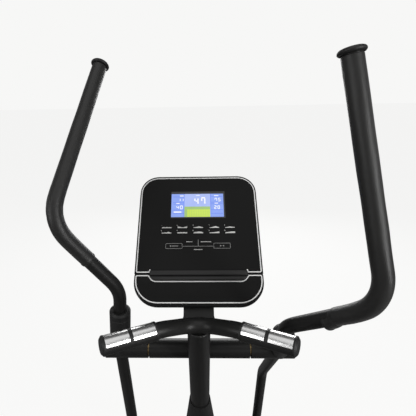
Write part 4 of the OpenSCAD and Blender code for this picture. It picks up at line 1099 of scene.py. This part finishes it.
class TRAINER_OT_grip_caps(Operator):
    """Rounded end caps on top of the foam grips"""

    bl_idname = "trainer.grip_caps"
    bl_label = "Grip caps"

    def execute(self, context):
        g = context.scene.trainer_grips
        for side in SIDES:
            path = foam_path(side)
            out = (path[-1] - path[-6]).normalized()
            r, h = g.cap_radius, g.cap_height
            profile = [(0.0138, -0.024), (0.0138, 0.0), (r - 0.0046, 0.0)]
            profile += [(r - 0.0022, h * 0.06), (r - 0.0008, h * 0.2)]
            profile += [(r - 0.0001, h * 0.36), (r, h * 0.5), (r - 0.0004, h * 0.66)]
            profile += [(r - 0.0016, h * 0.84), (r - 0.0036, h * 0.96), (r - 0.0058, h)]
            profile += [(r - 0.0068, h * 0.95), (r - 0.0085, h * 0.93)]
            profile += [(0.006, h * 0.95), (0.0, h * 0.96)]
            mesh = lathe(profile, path[-1] + out * 0.0005, out, 64)
            made = piece(f"grip_end_{side}", mesh, f"{side}_arm", "moulded_plastic")
            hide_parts(f"grip_cap_{side}")
        return {"FINISHED"}


class TRAINER_OT_pulse_grips(Operator):
    """Pulse grips: textured shells with two bright plates each"""

    bl_idname = "trainer.pulse_grips"
    bl_label = "Pulse grips"

    def execute(self, context):
        finish("moulded_plastic", "pulse_grips")
        finish("polished_plate", "pulse_plates")
        return {"FINISHED"}


class TRAINER_OT_tubes(Operator):
    """Coated steel: arms, handlebar, post, axle, base and cranks, with weld beads"""

    bl_idname = "trainer.tubes"
    bl_label = "Coated steel"

    def execute(self, context):
        finish(
            "powder_coat", "spine_beam", "stabilizer_tubes", "mast", "post", "cross_axle", "handlebar",
            "neck_bracket", "lower_arm_left", "lower_arm_right", "upper_arm_left", "upper_arm_right",
            "drive_bracket", "crank_left", "crank_right", "pedal_bar_left", "pedal_bar_right",
        )
        self.axle_weld()
        self.mast_weld()
        self.post_weld()
        for side in SIDES:
            self.pivot_weld(side)
        return {"FINISHED"}

    @staticmethod
    def bead(name, loop, size, body="frame", around=12):
        """A rippled weld bead of this size, along a closed loop."""

        def ripple(distance, turn):
            return size * (1.0 + 0.16 * math.sin(distance / 0.0011) + 0.05 * math.sin(3 * turn))

        piece(name, swept(loop, ripple, around, closed=True), body, "weld_seam")

    def axle_weld(self):
        """Round the patch where the cross axle meets the post."""
        low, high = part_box("cross_axle")
        axle_r = (high.z - low.z) / 2
        post_low, post_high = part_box("post")
        post_r = (post_high.x - post_low.x) / 2
        back = POST_BEHIND_AXLE * math.cos(POST_LEAN)
        half = []
        for i in range(61):
            turn = math.radians(-88 + 176 * i / 60)
            deep = back - axle_r * math.cos(turn)
            if deep < post_r:
                x = math.sqrt(post_r**2 - deep**2)
                about = math.pi - POST_LEAN + turn
                half.append((x, math.cos(about) * axle_r, math.sin(about) * axle_r))
        loop = [AXLE + Vector((x, y, z)) for x, y, z in half]
        loop += [AXLE + Vector((-x, y, z)) for x, y, z in half[::-1]]
        self.bead("axle_weld", loop, 0.0026)

    def mast_weld(self):
        """Round the foot of the mast on the spine."""
        low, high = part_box("mast")
        spine_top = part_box("spine_beam")[1].z
        radius = (high.x - low.x) / 2
        long_radius = radius / math.cos(POST_LEAN)
        middle = high.y - long_radius
        turns = [2 * math.pi * i / 72 for i in range(72)]
        loop = [
            Vector((radius * math.cos(t), middle + long_radius * math.sin(t), spine_top)) for t in turns
        ]
        self.bead("mast_weld", loop, 0.0030)

    def post_weld(self):
        """Round the rim of the plugged top of the post, where the handlebar lies in it."""
        post_low, post_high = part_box("post")
        radius = (post_high.x - post_low.x) / 2 - 0.0012
        up = Vector((0.0, -math.sin(POST_LEAN), math.cos(POST_LEAN)))
        rise = POST_TOP_ABOVE_AXLE
        back = POST_BEHIND_AXLE + rise * math.tan(POST_LEAN)
        middle = AXLE + Vector((0.0, -back, rise)) - up * 0.0008
        side, other = across(up)
        turns = [2 * math.pi * i / 72 for i in range(72)]
        loop = [middle + (side * math.cos(t) + other * math.sin(t)) * radius for t in turns]
        self.bead("post_weld", loop, 0.0026)

    def pivot_weld(self, side):
        """Round the arm where it meets its lower pivot boss."""
        low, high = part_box(f"lower_arm_{side}")
        foot_y = low.y + ARM_FOOT_RADIUS if side == "left" else high.y - ARM_FOOT_RADIUS
        middle = Vector((SIDES[side] * ARM_OUT, foot_y, low.z + ARM_FOOT_RADIUS + 0.0185))
        turns = [2 * math.pi * i / 48 for i in range(48)]
        loop = [middle + Vector((math.cos(t), math.sin(t), 0.0)) * 0.0168 for t in turns]
        self.bead(f"arm_weld_{side}", loop, 0.0022, f"{side}_arm", 10)


class TRAINER_OT_joint_covers(Operator):
    """Moulded covers of the arm joints and of the post, and the bushes and shaft between them"""

    bl_idname = "trainer.joint_covers"
    bl_label = "Joint covers"

    def execute(self, context):
        finish("moulded_plastic", "arm_sleeve_left", "arm_sleeve_right", "hub_caps")
        finish("moulded_plastic", "post_cover_left", "post_cover_right")
        finish("bearing_bronze", "arm_bushes_left", "arm_bushes_right")
        finish("turned_steel", "arm_shaft")
        finish("zinc_plate", "frame_bolts")
        return {"FINISHED"}


# ---- Pedals, drive and base ----


class TRAINER_OT_foot_plates(Operator):
    """Foot plates with a raised tread"""

    bl_idname = "trainer.foot_plates"
    bl_label = "Foot plates"

    def execute(self, context):
        finish("pedal_plastic", "foot_plate_left", "foot_plate_right")
        for side in SIDES:
            pin = Vector(JOINTS[f"{side}_pedal_level"]["pos_m"])
            low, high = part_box(f"pedal_bar_{side}")
            front_z, front_y = low.z + PEDAL_BOSS_RADIUS, high.y - PEDAL_BOSS_RADIUS
            slope = math.atan2(front_z - pin.z, front_y - pin.y)
            place = Matrix.Translation((0.0, pin.y, pin.z)) @ Matrix.Rotation(slope, 4, "X")
            place = place @ Matrix.Translation((SIDES[side] * PEDAL_OUT, 0.0, PEDAL_TREAD_UP))
            ribs = []
            half, thick = 0.0105, 0.0022
            for row in range(13):
                y = 0.118 + row * 0.0232
                for column in range(4):
                    x = -0.0465 + column * 0.0310
                    lean = 0.006 if (row + column) % 2 else -0.006
                    left, right = (x - half, y - lean), (x + half, y + lean)
                    corners = ((left, -thick), (right, -thick), (right, thick), (left, thick))
                    ribs.append([(end[0], end[1] + up) for end, up in corners])
            mesh = joined([plate([rib], 0.0022, 0.0016, 0.0007, 2) for rib in ribs])
            piece(f"foot_tread_{side}", mesh, f"{side}_pedal", "pedal_plastic", place)
        return {"FINISHED"}


class TRAINER_OT_housing(Operator):
    """Drive housing with vents, and the drive inside it"""

    bl_idname = "trainer.housing"
    bl_label = "Drive housing"

    def execute(self, context):
        finish("moulded_plastic", "housing_left", "housing_right", "power_inlet", "crank_pulley")
        finish("turned_steel", "crank_axle", "flywheel_axle", "crank_bearings")
        finish("cast_flywheel", "flywheel")
        finish("zinc_plate", "magnet_bracket")
        finish("ribbed_belt", "drive_belt")
        finish("solder_mask", "circuit_board")
        for side, sign in SIDES.items():
            outer = abs(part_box(f"housing_{side}")[0 if sign < 0 else 1].x)
            mesh = joined(self.details())
            piece(f"housing_trim_{side}", mesh, "frame", "moulded_plastic",
                  on_side(sign, outer, CRANK.y, CRANK.z))
        return {"FINISHED"}

    @staticmethod
    def details():
        """A ring round the crank axle, and a fan of vents."""
        ring = [arc((0, 0), radius, 0, 354, 59) for radius in (0.034, 0.0195)]
        parts = [plate(ring, 0.006, 0.0040, 0.0015, 4)]
        for i in range(7):
            turn = math.radians(30 + 20 * i)
            aim = Vector((math.cos(turn), math.sin(turn)))
            off = Vector((-aim.y, aim.x)) * 0.0026
            a, b = aim * 0.060, aim * 0.096
            rib = [(a + off)[:], (b + off)[:], (b - off)[:], (a - off)[:]]
            parts.append(plate([rib], 0.003, 0.0018, 0.0009, 2))
        return parts


class TRAINER_OT_base(Operator):
    """End caps, transport wheels and levelling feet"""

    bl_idname = "trainer.base"
    bl_label = "Base"

    def execute(self, context):
        finish("moulded_plastic", "front_end_caps", "rear_end_caps")
        finish("tyre_rubber", "transport_wheel_left", "transport_wheel_right")
        finish("tyre_rubber", "levelling_foot_left", "levelling_foot_right")
        return {"FINISHED"}


# ---- Stage ----


class TRAINER_OT_stage(Operator):
    """Pale floor, soft studio light and camera"""

    bl_idname = "trainer.stage"
    bl_label = "Stage"

    def execute(self, context):
        self.floor()
        self.world(context)
        self.lights()
        self.camera(context)
        context.scene.view_settings.view_transform = "Standard"
        return {"FINISHED"}

    @staticmethod
    def floor():
        """A floor that looks pale to the camera and throws back little light."""
        reach = 40.0
        corners = [(-reach, -reach, 0), (reach, -reach, 0), (reach, reach, 0), (-reach, reach, 0)]
        mesh = mesh_of("studio_floor", corners, [(0, 1, 2, 3)])
        made = bpy.data.objects.new("studio_floor", mesh)
        bpy.context.scene.collection.objects.link(made)
        material, tree, shader, _ = start_material("pale_floor")
        shader.inputs["Base Color"].default_value = (0.10, 0.10, 0.10, 1.0)
        shader.inputs["Roughness"].default_value = 1.0
        shader.inputs["Specular IOR Level"].default_value = 0.0
        shader.inputs["Emission Color"].default_value = (1.0, 1.0, 0.992, 1.0)
        shader.inputs["Emission Strength"].default_value = 0.885
        dull = add(tree, "ShaderNodeBsdfDiffuse", {"Color": (0.30, 0.30, 0.30, 1.0)})
        path = add(tree, "ShaderNodeLightPath")
        both = add(tree, "ShaderNodeMixShader", {0: path.outputs["Is Camera Ray"]})
        tree.links.new(dull.outputs[0], both.inputs[1])
        tree.links.new(shader.outputs[0], both.inputs[2])
        out = next(n for n in tree.nodes if n.type == "OUTPUT_MATERIAL")
        tree.links.new(both.outputs[0], out.inputs["Surface"])
        mesh.materials.append(material)

    @staticmethod
    def world(context):
        """A pale surround for the camera, and a soft band of light round the horizon."""
        world = bpy.data.worlds.new("studio")
        context.scene.world = world
        world.use_nodes = True
        tree = world.node_tree
        tree.nodes.clear()
        pale = (0.93, 0.93, 0.922, 1.0)
        seen = add(tree, "ShaderNodeBackground", {"Color": pale, "Strength": 1.0})
        where = add(tree, "ShaderNodeTexCoord").outputs["Generated"]
        rise = add(tree, "ShaderNodeSeparateXYZ", {0: where}).outputs["Z"]
        level = add(tree, "ShaderNodeMath", {0: rise}, operation="ABSOLUTE").outputs[0]
        band = add(
            tree,
            "ShaderNodeMapRange",
            {"Value": level, "From Min": 0.05, "From Max": 0.45, "To Min": 0.62, "To Max": 0.10},
        )
        white = (1.0, 1.0, 1.0, 1.0)
        soft = {"Color": white, "Strength": band.outputs["Result"]}
        lighting = add(tree, "ShaderNodeBackground", soft)
        path = add(tree, "ShaderNodeLightPath")
        mix = add(tree, "ShaderNodeMixShader", {0: path.outputs["Is Camera Ray"]})
        tree.links.new(lighting.outputs[0], mix.inputs[1])
        tree.links.new(seen.outputs[0], mix.inputs[2])
        out = add(tree, "ShaderNodeOutputWorld")
        tree.links.new(mix.outputs[0], out.inputs["Surface"])

    @staticmethod
    def lights():
        """Area lights, each with its place, its aim, its width and height, and its power in watts."""
        for name, at, aim, width, height, power in (
            ("top_softbox", (0.0, -0.6, 3.4), (0.0, 0.1, 1.1), 3.0, 3.0, 21.0),
            ("right_strip", (2.2, -1.75, 1.55), (0.25, 0.1, 1.3), 0.45, 1.9, 42.0),
            ("front_softbox", (0.3, 3.6, 2.0), (0.0, 0.3, 0.9), 2.4, 1.8, 60.0),
            ("left_strip", (-2.2, -1.5, 1.8), (-0.2, 0.2, 1.2), 0.6, 1.7, 14.0),
        ):
            light = bpy.data.lights.new(name, "AREA")
            light.shape = "RECTANGLE"
            light.size = width
            light.size_y = height
            light.energy = power
            lamp = bpy.data.objects.new(name, light)
            lamp.location = at
            lamp.rotation_euler = (Vector(aim) - Vector(at)).to_track_quat("-Z", "Y").to_euler()
            bpy.context.scene.collection.objects.link(lamp)

    @staticmethod
    def camera(context):
        """A camera set square to its own view, leaned by the roll."""
        v = context.scene.trainer_view
        level = math.cos(v.pitch)
        forward = Vector((math.sin(v.yaw) * level, math.cos(v.yaw) * level, -math.sin(v.pitch)))
        right = Vector((math.cos(v.yaw), -math.sin(v.yaw), 0.0))
        down = forward.cross(right)
        leaned_right = right * math.cos(v.roll) + down * math.sin(v.roll)
        leaned_down = down * math.cos(v.roll) - right * math.sin(v.roll)
        camera = bpy.data.cameras.new("studio_camera")
        camera.lens = v.lens
        camera.sensor_width = 36.0
        camera.shift_x = v.shift_right
        camera.shift_y = v.shift_up
        camera.clip_end = 200.0
        made = bpy.data.objects.new("studio_camera", camera)
        turn = Matrix((leaned_right, -leaned_down, -forward)).transposed().to_4x4()
        made.matrix_world = Matrix.Translation(AXLE + Vector((v.right, -v.behind, v.above))) @ turn
        bpy.context.scene.collection.objects.link(made)
        context.scene.camera = made


# ---- Panel and registration ----

MAKERS = (
    TRAINER_OT_stage,
    TRAINER_OT_tubes,
    TRAINER_OT_joint_covers,
    TRAINER_OT_console_shell,
    TRAINER_OT_console_trim,
    TRAINER_OT_display,
    TRAINER_OT_console_print,
    TRAINER_OT_keys,
    TRAINER_OT_pulse_grips,
    TRAINER_OT_foam_grips,
    TRAINER_OT_grip_caps,
    TRAINER_OT_foot_plates,
    TRAINER_OT_housing,
    TRAINER_OT_base,
)
GROUPS = {
    "trainer_console": TrainerConsole,
    "trainer_grips": TrainerGrips,
    "trainer_colours": TrainerColours,
    "trainer_view": TrainerView,
}


class TRAINER_PT_panel(Panel):
    """Lists the trainer's settings and the operators that make its pieces"""

    bl_idname = "TRAINER_PT_panel"
    bl_label = "Trainer"
    bl_space_type = "VIEW_3D"
    bl_region_type = "UI"
    bl_category = "Trainer"

    def draw(self, context):
        for group, kind in GROUPS.items():
            box_layout = self.layout.box()
            box_layout.label(text=kind.__doc__)
            for setting in kind.__annotations__:
                box_layout.prop(getattr(context.scene, group), setting)
        for maker in MAKERS:
            self.layout.operator(maker.bl_idname)


def register():
    for kind in (*GROUPS.values(), *MAKERS, TRAINER_PT_panel):
        bpy.utils.register_class(kind)
    for name, kind in GROUPS.items():
        setattr(bpy.types.Scene, name, PointerProperty(type=kind))


def unregister():
    for name in GROUPS:
        delattr(bpy.types.Scene, name)
    for kind in reversed((*GROUPS.values(), *MAKERS, TRAINER_PT_panel)):
        bpy.utils.unregister_class(kind)


def main():
    """Registers the add-on, and makes every piece in order."""
    register()
    make_materials(bpy.context.scene.trainer_colours)
    for maker in MAKERS:
        family, name = maker.bl_idname.split(".")
        getattr(getattr(bpy.ops, family), name)()


if __name__ == "__main__":
    main()
